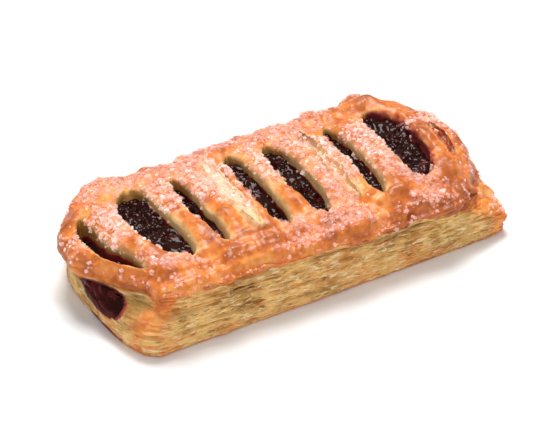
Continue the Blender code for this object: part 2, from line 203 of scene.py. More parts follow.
# Glazed spots with little sugar: middle and reach as fractions s and t.
BARE_SPOTS = ((-0.42, -0.78, 0.16, 0.22), (-0.55, -0.5, 0.06, 0.3), (-0.25, -0.78, 0.1, 0.14),
              (0.02, -0.55, 0.05, 0.3), (0.3, -0.6, 0.05, 0.25), (0.84, -0.2, 0.07, 0.5),
              (0.5, -0.75, 0.12, 0.12), (-0.97, -0.6, 0.07, 0.5), (0.62, 0.8, 0.2, 0.12))
# Crystals that fell to the foot of the slice: place and direction of the surface there.
FOOT_CRYSTALS = (
    ((-24.0, -32.6, 1.0), (0, -1, 0.3)),
    ((-26.5, -32.4, 2.2), (0, -1, 0.3)),
    ((-10.5, -32.2, 1.6), (0, -1, 0.3)),
    ((6.0, -32.0, 0.9), (0, -1, 0.3)),
)
FOOT_CRYSTAL_SIZE = 1.5
FOOT_CRYSTAL_TURN = (0.2, 0.1, 0.3)
# Section of a loose flake: how far out each point lies, and how high in its thickness.
FLAKE_SECTION = ((-0.9, 0.0), (0.5, 0.5), (1.0, 0.9), (1.0, -0.1), (0.5, -0.6))
# Share of the flakes on the front, and as many on the back; the rest are on the ends.
FRONT_SHARE = 0.46
FRUIT_GLEAM = (1.0, 0.62, 0.5)
# Lamps: name, place in metres, size in metres and power in watts.
LAMPS = (
    ("window", (0.32, 0.58, 1.35), 0.7, 23.5),
    ("fill", (-0.9, -1.0, 1.1), 1.2, 7.5),
    ("glint", (0.5, -0.95, 1.05), 0.2, 1.8),
)

# Beads: how far each strays from the middle of its cell, and its squared reach, in cells.
BEAD_JITTER = 0.38
BEAD_REACH = 0.42
LATTICE = np.random.default_rng(SEED).uniform(-1.0, 1.0, (64, 64))


class StrudelSizes(PropertyGroup):
    """Sizes and counts that a baker would change."""

    relief: FloatProperty(
        name="Crust relief", description="Height of the blisters on the crust",
        default=0.0006, min=0.0, unit="LENGTH")
    layer: FloatProperty(
        name="Layer thickness", description="Thickness of one baked layer at the sides",
        default=0.0007, min=0.0003, unit="LENGTH")
    fringe: FloatProperty(
        name="Layer fringe", description="How far single layers stand out at the sides",
        default=0.0005, min=0.0, unit="LENGTH")
    drupelet: FloatProperty(
        name="Drupelet size", description="Width of the small round beads of the fruit",
        default=0.0025, min=0.0005, unit="LENGTH")
    crystals: IntProperty(
        name="Coarse crystals", description="Coarse crystals sprinkled over the crust",
        default=2150, min=0)
    grit: IntProperty(
        name="Fine crystals", description="Fine crystals between the coarse ones",
        default=6000, min=0)
    crystal_small: FloatProperty(
        name="Smallest crystal", description="Edge length of the finest sugar",
        default=0.00045, unit="LENGTH")
    crystal_large: FloatProperty(
        name="Largest crystal", description="Edge length of the coarsest sugar",
        default=0.00145, unit="LENGTH")
    flakes: IntProperty(
        name="Loose flakes", description="Thin layers that lift from the sides",
        default=110, min=0)


class StrudelColours(PropertyGroup):
    """Colours of the baked dough, the fruit and the sugar."""

    golden: FloatVectorProperty(
        name="Golden crust", description="Lightest glazed crust", subtype="COLOR", size=3,
        default=(0.9, 0.36, 0.08), min=0.0, max=1.0)
    amber: FloatVectorProperty(
        name="Amber crust", description="Glazed crust between golden and brown",
        subtype="COLOR", size=3, default=(0.765, 0.21, 0.034), min=0.0, max=1.0)
    brown: FloatVectorProperty(
        name="Brown crust", description="Well baked crust", subtype="COLOR", size=3,
        default=(0.51, 0.122, 0.02), min=0.0, max=1.0)
    dark: FloatVectorProperty(
        name="Dark crust", description="Darkest baked spots", subtype="COLOR", size=3,
        default=(0.2, 0.05, 0.014), min=0.0, max=1.0)
    dough: FloatVectorProperty(
        name="Pale dough", description="Soft dough in the slits and layers", subtype="COLOR",
        size=3, default=(0.95, 0.595, 0.215), min=0.0, max=1.0)
    tan: FloatVectorProperty(
        name="Tan layers", description="Browned edges of the layers", subtype="COLOR", size=3,
        default=(0.5, 0.24, 0.06), min=0.0, max=1.0)
    fleck: FloatVectorProperty(
        name="Cream flecks", description="Thin pale edges of the layers", subtype="COLOR",
        size=3, default=(1.0, 0.78, 0.45), min=0.0, max=1.0)
    crumb: FloatVectorProperty(
        name="Slit crumb", description="Soft pale dough of the slits' walls", subtype="COLOR",
        size=3, default=(0.88, 0.64, 0.33), min=0.0, max=1.0)
    # Olive is both damp dough and painted shade: it darkens slits, gaps between layers and hollows
    # where shade falls.
    olive: FloatVectorProperty(
        name="Olive dough", description="Damp dough deep in the slits", subtype="COLOR",
        size=3, default=(0.27, 0.14, 0.025), min=0.0, max=1.0)
    berry: FloatVectorProperty(
        name="Berry filling", description="Thick dark filling", subtype="COLOR", size=3,
        default=(0.02, 0.0038, 0.0024), min=0.0, max=1.0)
    juice: FloatVectorProperty(
        name="Berry juice", description="Red of the juice where it is thin", subtype="COLOR",
        size=3, default=(0.15, 0.014, 0.016), min=0.0, max=1.0)
    stain: FloatVectorProperty(
        name="Fruit stain", description="Red brown of dough that took up juice",
        subtype="COLOR", size=3, default=(0.46, 0.085, 0.04), min=0.0, max=1.0)
    cream: FloatVectorProperty(
        name="Seam cream", description="Sugared dough where a slit has closed", subtype="COLOR",
        size=3, default=(0.93, 0.68, 0.48), min=0.0, max=1.0)
    frosting: FloatVectorProperty(
        name="Melted sugar", description="Pink white of sugar that melted on the crust",
        subtype="COLOR", size=3, default=(0.93, 0.44, 0.33), min=0.0, max=1.0)
    sugar: FloatVectorProperty(
        name="Sugar", description="Coarse decorating sugar", subtype="COLOR", size=3,
        default=(1.0, 0.58, 0.47), min=0.0, max=1.0)
    bright_sugar: FloatVectorProperty(
        name="Bright sugar", description="The whitest crystals", subtype="COLOR", size=3,
        default=(1.0, 0.86, 0.8), min=0.0, max=1.0)
    floor: FloatVectorProperty(
        name="Floor", description="Plain pale floor", subtype="COLOR", size=3,
        default=(0.95, 0.95, 0.95), min=0.0, max=1.0)


# ---- unevenness ----
def smooth(x):
    """Smooth step from 0 to 1."""
    x = np.clip(x, 0.0, 1.0)
    return x * x * (3.0 - 2.0 * x)


def lumps(x, y, size, shift=0.0):
    """Smooth seeded unevenness between -1 and 1, with lumps about `size` mm across."""
    u = np.asarray(x) / size + 31.7 + shift
    v = np.asarray(y) / size + 17.3 + shift * 1.7
    i = np.floor(u).astype(int)
    j = np.floor(v).astype(int)
    fu = smooth(u - i)
    fv = smooth(v - j)
    near = LATTICE[i % 64, j % 64] * (1 - fu) + LATTICE[(i + 1) % 64, j % 64] * fu
    far = LATTICE[i % 64, (j + 1) % 64] * (1 - fu) + LATTICE[(i + 1) % 64, (j + 1) % 64] * fu
    return near * (1 - fv) + far * fv


def blisters(points, size, shift=0.0):
    """Unevenness over a surface of any direction, from three planes of lumps."""
    x, y, z = points[..., 0], points[..., 1], points[..., 2]
    total = lumps(x, y, size, shift) + lumps(y, z, size, shift + 3.1)
    return (total + lumps(z, x, size, shift + 5.7)) / 1.8


def beads(u, v, size):
    """Rounded beads packed at random: 1 on top of a bead and 0 in the gaps between them."""
    u, v = u / size, v / size
    i, j = np.floor(u).astype(int), np.floor(v).astype(int)
    nearest = np.full(u.shape, FAR_AWAY)
    for a in (-1, 0, 1):
        for b in (-1, 0, 1):
            jitter_u = LATTICE[(i + a) % 64, (j + b) % 64] * BEAD_JITTER + 0.5
            jitter_v = LATTICE[(i + a + 29) % 64, (j + b + 13) % 64] * BEAD_JITTER + 0.5
            distance = (i + a + jitter_u - u) ** 2 + (j + b + jitter_v - v) ** 2
            nearest = np.minimum(nearest, distance)
    return np.sqrt(np.clip(1 - nearest / BEAD_REACH, 0.0, 1.0))


# ---- plan: s runs along the slice and t across it, both from -1 to 1 ----
def back_corner(s):
    """Share of the swell at the crust's back right corner."""
    return np.exp(-((s - CORNER_PLACE) / CORNER_SPREAD) ** 2)


def crust_plan(s, t):
    """X and Y of the crust for a place (s, t)."""
    front = smooth((BOW_PEAK - t) / (1 + BOW_PEAK))
    back = np.maximum((t - BOW_PEAK) / (1 - BOW_PEAK), 0.0) ** BACK_BEND
    right = np.abs(t) ** np.where(t > 0, RIGHT_BACK_BEND, BACK_BEND)
    drop = CRUST_BOW * np.where(s < 0, np.where(t < BOW_PEAK, front, back), right)
    reach = np.where(s < 0, CRUST_LEFT, CRUST_RIGHT)
    x = s * reach - np.sign(s) * drop * np.abs(s) ** 2.5
    waist = WAIST * (1 - s ** 4) + WAIST_PINCH * np.exp(-((s - PINCH_PLACE) / PINCH_SPREAD) ** 2)
    waist = waist - CORNER_OUT * back_corner(s)
    return x, t * (CRUST_HALF_WIDTH - CRUST_CORNER * np.abs(s) ** 12 - np.where(t > 0, waist, 0.0))


def base_plan(s, t):
    """X and Y of the foot of the slice for a place (s, t) on its edge."""
    left = np.where(t < 0, FOOT_BOW_FRONT * t ** 4, FOOT_BOW_BACK * np.abs(t) ** 2.5)
    drop = np.where(s < 0, left, FOOT_BOW_RIGHT * np.abs(t) ** 9)
    reach = np.where(s < 0, BASE_LEFT, BASE_RIGHT)
    x = s * reach - np.sign(s) * drop * np.abs(s) ** 6
    skew = np.where(t < 0, BASE_SKEW * s, WAIST * 0.7 * (1 - s ** 4))
    corner = np.where(s < 0, FOOT_CORNER_LEFT, FOOT_CORNER_RIGHT) * np.abs(s) ** 16
    return x, t * (BASE_HALF_WIDTH - corner - skew)


def rim_height(s, t):
    """Height of the crust's edge."""
    dip = RIM_DIP * np.abs(s) ** 8 * (1 - t ** 4)
    return RIM_HEIGHT - RIM_TILT * s - dip + CORNER_RISE * back_corner(s) * smooth(t)


def crust_height(s, t):
    """Height of the top crust before the slits are cut."""
    x, y = crust_plan(s, t)
    along = np.maximum(1 - np.abs(s) ** 5, 0.0) ** 0.5
    across = np.maximum(1 - np.abs(t) ** 2.6, 0.0) ** 0.55
    rim = rim_height(s, t)
    dome = (CROWN_HEIGHT - rim) * along * across
    return rim + dome + CROWN_LUMP * lumps(x, y, CROWN_LUMP_SIZE) * smooth(along * across * 1.6)


def filling_section(x):
    """Half-width, rise, depth, Y and Z of the middle, and bluntness at a place x."""
    taper = np.clip(np.abs(x) / TAPER_END, 0.0, 1.0) ** TAPER_POWER
    half = FILLING_HALF_WIDTH + (END_HALF_WIDTH - FILLING_HALF_WIDTH) * taper
    mound = MOUND * np.exp(-((x - MOUND_PLACE) / MOUND_SPREAD) ** 2)
    up = FILLING_UP + (END_UP - FILLING_UP) * taper + mound
    down = FILLING_DOWN + (END_DOWN - FILLING_DOWN) * taper
    shift = np.where(x < 0, END_SHIFT_LEFT, END_SHIFT_RIGHT) * taper
    blunt = BLUNT_MIDDLE + (BLUNT_END - BLUNT_MIDDLE) * taper
    return half, up, down, shift, FILLING_MID_Z - END_DROP * taper, blunt


def end_bow(x, y, z):
    """How far the filling's left part is drawn in, as the crust bows in there."""
    s = np.clip(-x / CRUST_LEFT, 0.0, 1.0)
    bow = smooth((BOW_PEAK - y / CRUST_HALF_WIDTH) / (1 + BOW_PEAK))
    return CRUST_BOW * bow * s ** 2.5 * smooth((z - BOW_FROM_Z) / BOW_OVER_Z)


def filling_top(x, y):
    """Height of the filling's upper surface."""
    half, up, _, mid_y, mid_z, blunt = filling_section(x)
    side = np.clip(np.abs(y - mid_y) / half, 0.0, 1.0)
    return mid_z + up * np.sqrt(1 - side ** blunt)


def filling_rings(stations, above, below):
    """Sections of the filling: above and below count the points over its top and underside."""
    upper, lower = np.linspace(1.0, -1.0, above), np.linspace(-1.0, 1.0, below + 2)[1:-1]
    across = np.concatenate([upper, lower])
    across = 0.8 * across + 0.2 * np.sin(across * math.pi / 2)
    over = np.arange(above + below) < above
    rings = []
    for x, scale in stations:
        half, up, down, mid_y, mid_z, blunt = (float(v) for v in filling_section(x))
        y = across * half * scale + mid_y
        rise = np.sqrt(np.maximum(1 - np.abs(across) ** blunt, 0.0)) * scale
        z = mid_z + rise * np.where(over, up, -down)
        rings.append(np.stack([x + end_bow(x, y, z), y, z], -1))
    return np.array(rings)


# ---- meshes ----
def grid_quads(columns, rows, start=0, closed=False):
    """Faces of a grid of points, numbered column by column; closed joins the last row."""
    index = start + np.arange(columns * rows).reshape(columns, rows)
    after = np.roll(index, -1, axis=1) if closed else index[:, 1:]
    first = index if closed else index[:, :-1]
    return np.stack([first[:-1], first[1:], after[1:], after[:-1]], -1).reshape(-1, 4).tolist()


def make_piece(name, points, faces, finishes=None, smooth_faces=True):
    """An object from points in millimetres about the outline, with point finishes."""
    mesh = bpy.data.meshes.new(name)
    placed = (points - np.array([*BOX_MIDDLE, 0.0])) * MM
    mesh.from_pydata(placed.tolist(), [], faces)
    mesh.update()
    for key, values in (finishes or {}).items():
        layer = mesh.attributes.new(key, "FLOAT", "POINT")
        layer.data.foreach_set("value", np.ascontiguousarray(values, dtype=np.float32))
    mesh.polygons.foreach_set("use_smooth", [smooth_faces] * len(mesh.polygons))
    piece = bpy.data.objects.new(name, mesh)
    bpy.context.scene.collection.objects.link(piece)
    return piece


def vertex_normals(points, faces):
    """Unit normals of a mesh's points."""
    mesh = bpy.data.meshes.new("normals")
    mesh.from_pydata(points.tolist(), [], faces)
    mesh.update()
    normals = np.empty(len(points) * 3, dtype=np.float32)
    mesh.vertex_normals.foreach_get("vector", normals)
    bpy.data.meshes.remove(mesh)
    return normals.reshape(-1, 3).astype(float)


# ---- the pastry's surface ----
def slit_zones():
    """Each slit's middle and the middles of the rungs beside it, as fractions s."""
    lips = []
    for x, left, right, *_ in SLITS:
        reach = CRUST_LEFT if x < 0 else CRUST_RIGHT
        lips.append(((x - left) / reach, x / reach, (x + right) / reach))
    zones, count = [], len(lips)
    for k, (left, middle, right) in enumerate(lips):
        before = (lips[k - 1][2] + left) / 2 if k else left - FIRST_RUNG / CRUST_LEFT
        outermost = right + LAST_RUNG / CRUST_LEFT
        after = (right + lips[k + 1][0]) / 2 if k + 1 < count else outermost
        zones.append((before, middle, after))
    return zones


ZONES = slit_zones()


def crust_bake(s, t, x, y):
    """How dark the plain crust is baked, from 0 to 1, with painted light on its front lower edge.
    """
    edge = smooth((np.maximum(np.abs(s) ** 5, np.abs(t) ** 3.0) - 0.35) / 0.6)
    right_end = 0.16 * smooth((s - 0.55) / 0.3)
    front_right = 0.2 * smooth((-t - 0.7) / 0.25) * smooth((s - 0.25) / 0.3)
    patches = 0.17 * lumps(x, y, 10.0, 2.0) + 0.18 * lumps(x, y, 4.0, 4.0)
    # The front lower edge is painted lighter: partly paler baking, partly painted light where it
    # faces down and away from the lamps.
    front_edge_painted_light = 0.3 * smooth((-t - 0.84) / 0.12) * (1 - 0.8 * smooth((s - 0.1) / 0.3))
    level = PLAIN_BAKE + 0.12 * edge + right_end + front_right - front_edge_painted_light + patches
    return np.clip(level, 0, 1)


def plain_column(s, t):
    """Points and finishes of a column of plain crust."""
    x, y = crust_plan(s, t)
    nought = np.zeros_like(t)
    away_s, away_t = (s - RED_SPOT[0]) / RED_REACH[0], (t - RED_SPOT[1]) / RED_REACH[1]
    red = RED_SHARE * np.exp(-away_s ** 2 - away_t ** 2)
    cover = sugar_cover(s, t, x, y) * edge_fade(t)
    finish = np.stack([nought + 1, crust_bake(s, t, x, y), red, nought, nought, cover], -1)
    return np.stack([x, y, crust_height(s, t)], -1), finish


def edge_fade(t):
    """Fades the sugar out towards the crust's long edges."""
    return smooth((1.0 - np.abs(t)) / 0.12)


def rung_arc(place):
    """Angle by which a rung has curved over at a place past a slit's lip."""
    return (place - LIP) / (1 - LIP) * math.pi / 2


def inside_slit(past):
    """1 between a slit's two ends and 0 past them."""
    return smooth((1.08 - past) / 0.1)


def slit_fraction(k, side, place, t, past):
    """Fraction s of a slit's column: first its floor, then its wall, then over the rung."""
    before, middle, after = ZONES[k]
    zone = (middle - before) if side < 0 else (after - middle)
    half = SLITS[k][1 if side < 0 else 2] / CRUST_LEFT
    along, run = np.clip(past, 0.0, 1.0), t * CRUST_HALF_WIDTH
    ragged = 0.45 * lumps(run, k * 9.0 + side * 3.0, 4.0, 6.0)
    ragged = ragged + 0.22 * lumps(run, k * 5.0 + side, 1.7, 7.0)
    ragged = 1 + ragged * (1 - smooth((place - 0.6) / 0.4)) / max(half * CRUST_LEFT, 1.6)
    lip = half * np.maximum((1 - along ** LIP_BEND) ** LIP_POWER, SLIT_TIP) * ragged
    if place <= FLOOR_EDGE:
        open_x = FLOOR_SHARE * lip * place / FLOOR_EDGE
    elif place <= LIP:
        up_wall = (place - FLOOR_EDGE) / (LIP - FLOOR_EDGE)
        open_x = lip * (FLOOR_SHARE + (1 - FLOOR_SHARE) * up_wall)
    else:
        open_x = zone - (zone - lip) * np.cos(rung_arc(place))
    offset = open_x + (place * zone - open_x) * smooth((past - 1) / TIP_FADE)
    return middle + side * offset


def slit_height(k, place, s, t, past):
    """Height of a slit's column: open down to the filling, or a seam that has closed."""
    depth, stained = SLITS[k][5:]
    x, y = crust_plan(s, t)
    top, arc = crust_height(s, t), rung_arc(place)
    rounding = RUNG_ROUND * (1 - smooth((past - 0.72) / 0.5))
    if depth is None:
        bend = math.sin(max(arc, 0.0))
        wall = float(np.clip((place - FLOOR_EDGE) / (LIP - FLOOR_EDGE), 0.0, 1.0))
        floor = np.minimum(filling_top(x, y) - FLOOR_SINK, top - rounding)
    else:
        rounding = rounding * SHALLOW_ROUND
        bend, wall = float(smooth(2 * arc / math.pi)), float(smooth(place / LIP))
        floor = top - depth
    if place < LIP:
        opened = (1 - np.clip(past, 0.0, 1.0) ** 6) ** 0.6
        z = top - rounding + (floor - top + rounding) * (1 - wall) * opened
    else:
        z = top - rounding * (1 - bend)
    if depth is not None:
        rough = 0.9 * lumps(x, y, 1.9, 8.0) + 0.6 * lumps(x, y, 1.0, 3.0)
        puffed = (STAINED_SEAM_RISE if stained else SEAM_RISE) + rough
        z = z + inside_slit(past) * smooth((LIP + 0.3 - place) / 0.3) * puffed
    return z


def slit_finish(k, side, place, s, t, z, toward):
    """Finishes of a slit's column: pale walls, damp dough and fruit stains low down, and painted
    shade towards the back end and low down.
    """
    depth, stained = SLITS[k][5:]
    x, y = crust_plan(s, t)
    inside = inside_slit(np.abs(toward))
    above = z - filling_top(x, y) - JAM_RISE
    dough = inside * smooth((LIP + 0.42 - place) / 0.46)
    dough = dough * (1 - 0.3 * smooth((toward - 0.7) / 0.25))
    # Olive here is painted shade towards the slit's back end and in the narrow first slit, and damp
    # dough with painted shade low down near the filling.
    deep = smooth((toward - 0.25) / 0.6) + (0.8 if k == 0 else 0.0)
    damp_shade = inside * np.clip(0.16 + 0.6 * deep + 0.5 * smooth(1 - above / 3.4), 0, 1)
    within = inside * smooth((LIP + 0.2 - place) / 0.2)
    cover = sugar_cover(s, t, x, y) * edge_fade(t)
    low_wall = inside * smooth((LIP + 0.5 - place) / 0.4)
    if depth is None:
        strong = stained > STRONG_STAIN
        climb = stained * (STAIN_CLIMB if strong and side > 0 else 1.0)
        reach = LIP + (0.45 if strong else 0.15)
        stain = inside * smooth((climb - above) / climb) * smooth((reach - place) / 0.15)
        cover = cover * (1 - within)
    else:
        damp_shade_share, cream, seam_stain = SEAMS[k]
        stain = low_wall * seam_stain
        damp_shade = damp_shade * damp_shade_share
        cover = cover + cream * within
    bake = crust_bake(s, t, x, y) - 0.34 * low_wall
    return np.stack([1 - dough, bake, stain, damp_shade, 0 * t, cover], -1)


def slit_column(k, side, place, t):
    """Points and finishes of a column in slit k's zone: place 0 (middle) to 1 (next rung)."""
    front, back = SLITS[k][3:5]
    middle_t = (front + back) / 2 / CRUST_HALF_WIDTH
    reach_t = (back - front) / 2 / CRUST_HALF_WIDTH
    toward = (t - middle_t) / reach_t
    past = np.abs(toward)
    s = slit_fraction(k, side, place, t, past)
    z = slit_height(k, place, s, t, past)
    return np.stack([*crust_plan(s, t), z], -1), slit_finish(k, side, place, s, t, z, toward)


def column_fraction(column):
    """The fraction s at which a column meets the edge of the crust."""
    if len(column) == 1:
        return column[0]
    k, side, place = column
    before, middle, after = ZONES[k]
    return middle + side * place * ((middle - before) if side < 0 else (after - middle))


def top_columns(detail):
    """Columns from left to right: (s,) on plain crust, or (slit, side, place)."""
    places = list(np.linspace(0.0, FLOOR_EDGE, 3))
    places += list(np.linspace(FLOOR_EDGE, LIP, 3 + 2 * detail))[1:]
    places += list(np.linspace(LIP, 1.0, 4 + 3 * detail))[1:]
    first, last = ZONES[0][0], ZONES[-1][2]
    beginning = np.linspace(0.0, 1.0, 3 + 3 * detail)[:-1]
    columns = [(-1.0 + (first + 1) * u ** 1.6,) for u in beginning]
    for k in range(len(SLITS)):
        for place in reversed(places[1:]):
            if place < 1.0 or k == 0:
                columns.append((k, -1, place))
        columns.extend((k, 1, place) for place in places)
    ending = np.linspace(1.0, 0.0, 3 + 4 * detail)[1:]
    columns.extend((1.0 - (1 - last) * u ** 1.6,) for u in ending)
    return columns


def build_top(columns, t):
    """Points and finishes of the whole top, columns by rows."""
    points, finishes = [], []
    for column in columns:
        strip = plain_column(column[0], t) if len(column) == 1 else slit_column(*column, t)
        points.append(strip[0])
        finishes.append(strip[1])
    return np.array(points), np.array(finishes)


def side_plan(s, t, height):
    """X and Y of the plain side at a height: the foot's outline low down, the crust's above."""
    low_x, low_y = base_plan(s, t)
    top_x, top_y = crust_plan(s, t)
    blend = smooth((height - FOOT_HEIGHT) / FOOT_BLEND)
    return low_x + (top_x - low_x) * blend, low_y + (top_y - low_y) * blend


def outward(x, y):
    """Unit directions in plan that point away from a closed outline."""
    tangent_x = np.roll(x, -2) - np.roll(x, 2)
    tangent_y = np.roll(y, -2) - np.roll(y, 2)
    length = np.hypot(tangent_x, tangent_y) + 1e-9
    return tangent_y / length, -tangent_x / length


def fine_layers(run, height, thickness):
    """Fine layers that wave along the side: how far each is out, its groove and its gaps."""
    level = height + 0.9 * lumps(run, 0.0, 19.0, 8.0) + 0.35 * lumps(run, 40.0, 6.0, 9.0)
    number = np.floor(level / thickness)
    within = level / thickness - number
    own = 0.7 * lumps(run, number * 17.3, 6.0, 11.0) + 0.8 * lumps(run, number * 17.3, 1.7, 12.0)
    groove = np.abs(2 * within - 1) ** 3
    parted = smooth((lumps(run, number * 11.0, 12.0, 15.0) - 0.45) / 0.2)
    return own, groove, parted * smooth(1.4 - 2.2 * np.abs(within - 0.5))


def side_marks(s, t, x, y, height, part, sizes):
    """What shapes and colours the side at one ring, from 0 to 1 except run, own and hole."""
    run = x + y * 1.3
    own, groove, gap = fine_layers(run, height, sizes.layer / MM)
    end = smooth((np.abs(s) - 0.9) / 0.1) * (1 - np.abs(t) ** 6)
    flaky = smooth((0.93 - part) / 0.05) * smooth((part - 0.02) / 0.05) * (1 - 0.65 * end)
    lobe = smooth((s - 0.88) / 0.06) * smooth((-t - 0.3) / 0.35) * smooth((part - 0.04) / 0.1)
    corner = np.exp(-((1 - np.abs(s)) * 8.5) ** 2 - ((1 - np.abs(t)) * 6.0) ** 2)
    hem = HEM_PLACE + 0.04 * lumps(run, 3.0, 7.5, 21.0) + 0.022 * lumps(run, 3.0, 2.3, 27.0)
    hem = hem - 0.16 * corner
    hollow = np.exp(-((part - hem + 0.1) / 0.035) ** 2) * smooth(lumps(run, 7.0, 15.0, 30.0) + 0.35)
    shift = np.where(s < 0, END_SHIFT_LEFT, END_SHIFT_RIGHT)
    hole = np.hypot((y - shift) / END_HALF_WIDTH, (height - FILLING_MID_Z + END_DROP) / END_UP)
    hole = np.where(np.abs(s) > 0.98, hole, FAR_AWAY)
    return SimpleNamespace(run=run, own=own, groove=groove, gap=gap, end=end, flaky=flaky,
                           lobe=lobe, corner=corner, hem=hem, hollow=hollow, hole=hole)


def side_relief(marks, height, part, fringe):
    """How far the side stands out at one ring, in millimetres."""
    run, hole = marks.run, marks.hole
    uneven = 0.75 + 0.75 * lumps(run, height * 6, 11.0, 3.0) if part > 0 else 1
    out = np.interp(part, SIDE_PARTS, SIDE_OUTS) * uneven * (1 - 0.5 * marks.end)
    out = out + BELLY * math.sin(math.pi * part)
    fine = fringe * (marks.own - 0.9 * marks.groove) - GAP_DEPTH * marks.gap
    puffs = 0.6 * lumps(run, height * 1.3, 3.2, 24.0) + 0.35 * lumps(run, height, 1.6, 25.0)
    out = out + marks.flaky * fine + marks.lobe * puffs
    out = out - HOLLOW_DEPTH * marks.hollow * (1 - marks.end)
    calm = np.where(hole < 1.25, out * smooth((hole - 0.95) / 0.3), out)
    return calm - HOLE_DEPTH * smooth((1.0 - hole) / 0.2)


def side_finish(marks, s, t, x, y, height, part):
    """Finishes of one ring round the side, in the order of FINISHES."""
    run, corner, hem, lobe = marks.run, marks.corner, marks.hem, marks.lobe
    crisp = smooth((part - hem) / 0.035 + 0.5)
    foot = smooth((0.1 - part) / 0.07) * (0.75 + 0.4 * lumps(run, 9.0, 8.0, 22.0))
    mottle = 0.85 + 0.5 * lumps(run, height, 5.0, 23.0) + 0.4 * lumps(run, height * 1.2, 1.8, 29.0)
    crust = np.clip(crisp + 0.75 * foot + corner * smooth(mottle), 0, 1)
    crust = np.maximum(crust, lobe * (0.85 + 0.4 * lumps(run, height, 4.0, 26.0)))
    bake = crust_bake(s, t, x, y) * (0.75 + 0.25 * crisp)
    bake = bake + 0.15 * foot - 0.06 * corner - 0.4 * lobe * (1 - crisp)
    # Olive here is painted shade in the gaps and grooves between the layers and in the hollow under
    # the hem; the end faces also turn darker and more olive towards their top.
    damp_shade = (0.4 * marks.gap + 0.2 * marks.groove) * marks.flaky + 0.75 * marks.hollow
    upper_end = marks.end * smooth((part - 0.25) / 0.45) * np.where(s < 0, 0.75, 0.3)
    damp_shade = np.clip(np.clip(damp_shade, 0, 1) + upper_end, 0, 1)
    pale = np.exp(-((part - hem + 0.035) / 0.022) ** 2)
    low_stain = smooth((0.16 - part) / 0.1) * smooth((14 - np.abs(y + 12)) / 8)
    low_stain = np.where(s < -0.98, low_stain, 0.0)
    stain = np.clip(0.85 * smooth((1.16 - marks.hole) / 0.14) + 0.75 * low_stain, 0, 1)
    layers = (1 - crisp) * (1 - 0.7 * pale)
    return np.stack([crust, bake, stain, damp_shade * (1 - pale), layers, 0.25 * crisp], -1)


def side_ring(s, t, part, sizes):
    """Points and finishes of one ring round the side, at a part of the rim's height."""
    height = rim_height(s, t) * part
    x, y = side_plan(s, t, height)
    marks = side_marks(s, t, x, y, height, part, sizes)
    out = side_relief(marks, height, part, sizes.fringe / MM)
    out_x, out_y = outward(x, y)
    finish = side_finish(marks, s, t, x, y, height, part)
    return np.stack([x + out_x * out, y + out_y * out, height], -1), finish


def rim_loop(count_c, count_r):
    """Numbers of the top grid's edge points, once round: front, right, back, left."""
    index = np.arange(count_c * count_r).reshape(count_c, count_r)
    return [*index[:-1, 0], *index[-1, :-1], *index[:0:-1, -1], *index[0, :0:-1]]


def rim_faces(edge, start, count):
    """Triangles that join the top's edge to the first ring, which has half as many points."""
    faces = []
    for k in range(count):
        after = start + (k + 1) % count
        a, b, c = edge[2 * k], edge[2 * k + 1], edge[(2 * k + 2) % len(edge)]
        faces += [(a, start + k, b), (b, start + k, after), (b, after, c)]
    return faces


def build_case(sizes, detail):
    """Points, faces and finishes of the pastry's closed outer form."""
    columns = top_columns(detail)
    u = np.linspace(-1.0, 1.0, 52 * detail + 17)
    t = 0.72 * u + 0.28 * np.sin(u * math.pi / 2)
    top, top_finish = build_top(columns, t)
    count_c, count_r, _ = top.shape
    edge = rim_loop(count_c, count_r)
    fractions = np.array([column_fraction(column) for column in columns])
    s_edge = fractions[np.array(edge) // count_r][::2]
    t_edge = t[np.array(edge) % count_r][::2]
    parts = np.linspace(1.0, 0.0, 45 * detail + 9)[1:]
    rings, ring_finish = zip(*(side_ring(s_edge, t_edge, part, sizes) for part in parts))
    points = np.concatenate([top.reshape(-1, 3), np.array(rings).reshape(-1, 3)])
    finish = np.concatenate([np.array(group).reshape(-1, len(FINISHES))
                             for group in (top_finish, ring_finish)])
    start, count = count_c * count_r, len(s_edge)
    faces = grid_quads(count_c, count_r) + rim_faces(edge, start, count)
    faces.extend(grid_quads(len(parts), count, start, closed=True))
    faces.append(list(range(len(points) - count, len(points)))[::-1])
    return points, faces, finish


def relieve(points, faces, finish, sizes):
    """Push the pastry's points along their normals by the fine relief of crust and dough."""
    x, y, height = points.T
    crust, layers = finish[:, 0], finish[:, 4]
    outer = np.maximum((np.abs(y + 1.0) - 19.0) / 4.0, (-x - 58.0) / 6.0)
    band = smooth(outer) * smooth((height - 14.0) / 4.0)
    blister = (1.5 + 0.7 * band) * blisters(points, 7.5, 6.0)
    blister = blister + (1.3 + 1.0 * band) * blisters(points, 3.9, 1.0)
    blister = blister + 1.0 * blisters(points, 2.1, 2.0) + 0.3 * blisters(points, 1.1, 3.0)
    crumb = 0.5 * blisters(points, 2.4, 4.0) + 0.4 * blisters(points, 1.1, 5.0)
    grains = beads(x, y + 0.6 * height, GRAIN_SIZE) * finish[:, 5]
    plain = (1 - crust) * (1 - layers)
    amount = (crust * (blister + 0.55 * grains) + 0.8 * plain * crumb) * smooth(height / 1.5)
    finish[:, 1] += 0.09 * crust * blister
    return points + vertex_normals(points, faces) * (amount * sizes.relief / MM)[:, None]


def detail_level():
    """Fineness of the meshes: 2 for a finished look, 1 for a quick one."""
    return 2


def make_pastry(sizes, material):
    """The baked pastry with its domed crust, slits and flaky sides."""
    points, faces, finish = build_case(sizes, detail_level())
    points = relieve(points, faces, finish, sizes)
    pastry = make_piece("baked_pastry", points, faces, dict(zip(FINISHES, finish.T)))
    pastry.data.materials.append(material)
    return pastry


# ---- filling ----
def filling_stations(step):
    """Places along the filling, each with the scale of its section there."""
    bends = np.append(np.linspace(0.12, 1.42, 12), 1.54)
    left = [(-FILLING_LEFT - BULGE * math.sin(a), math.cos(a)) for a in bends[::-1]]
    middle = [(float(x), 1.0) for x in np.arange(-FILLING_LEFT, FILLING_RIGHT + 0.01, step)]
    return left + middle + [(FILLING_RIGHT + BULGE * math.sin(a), math.cos(a)) for a in bends]


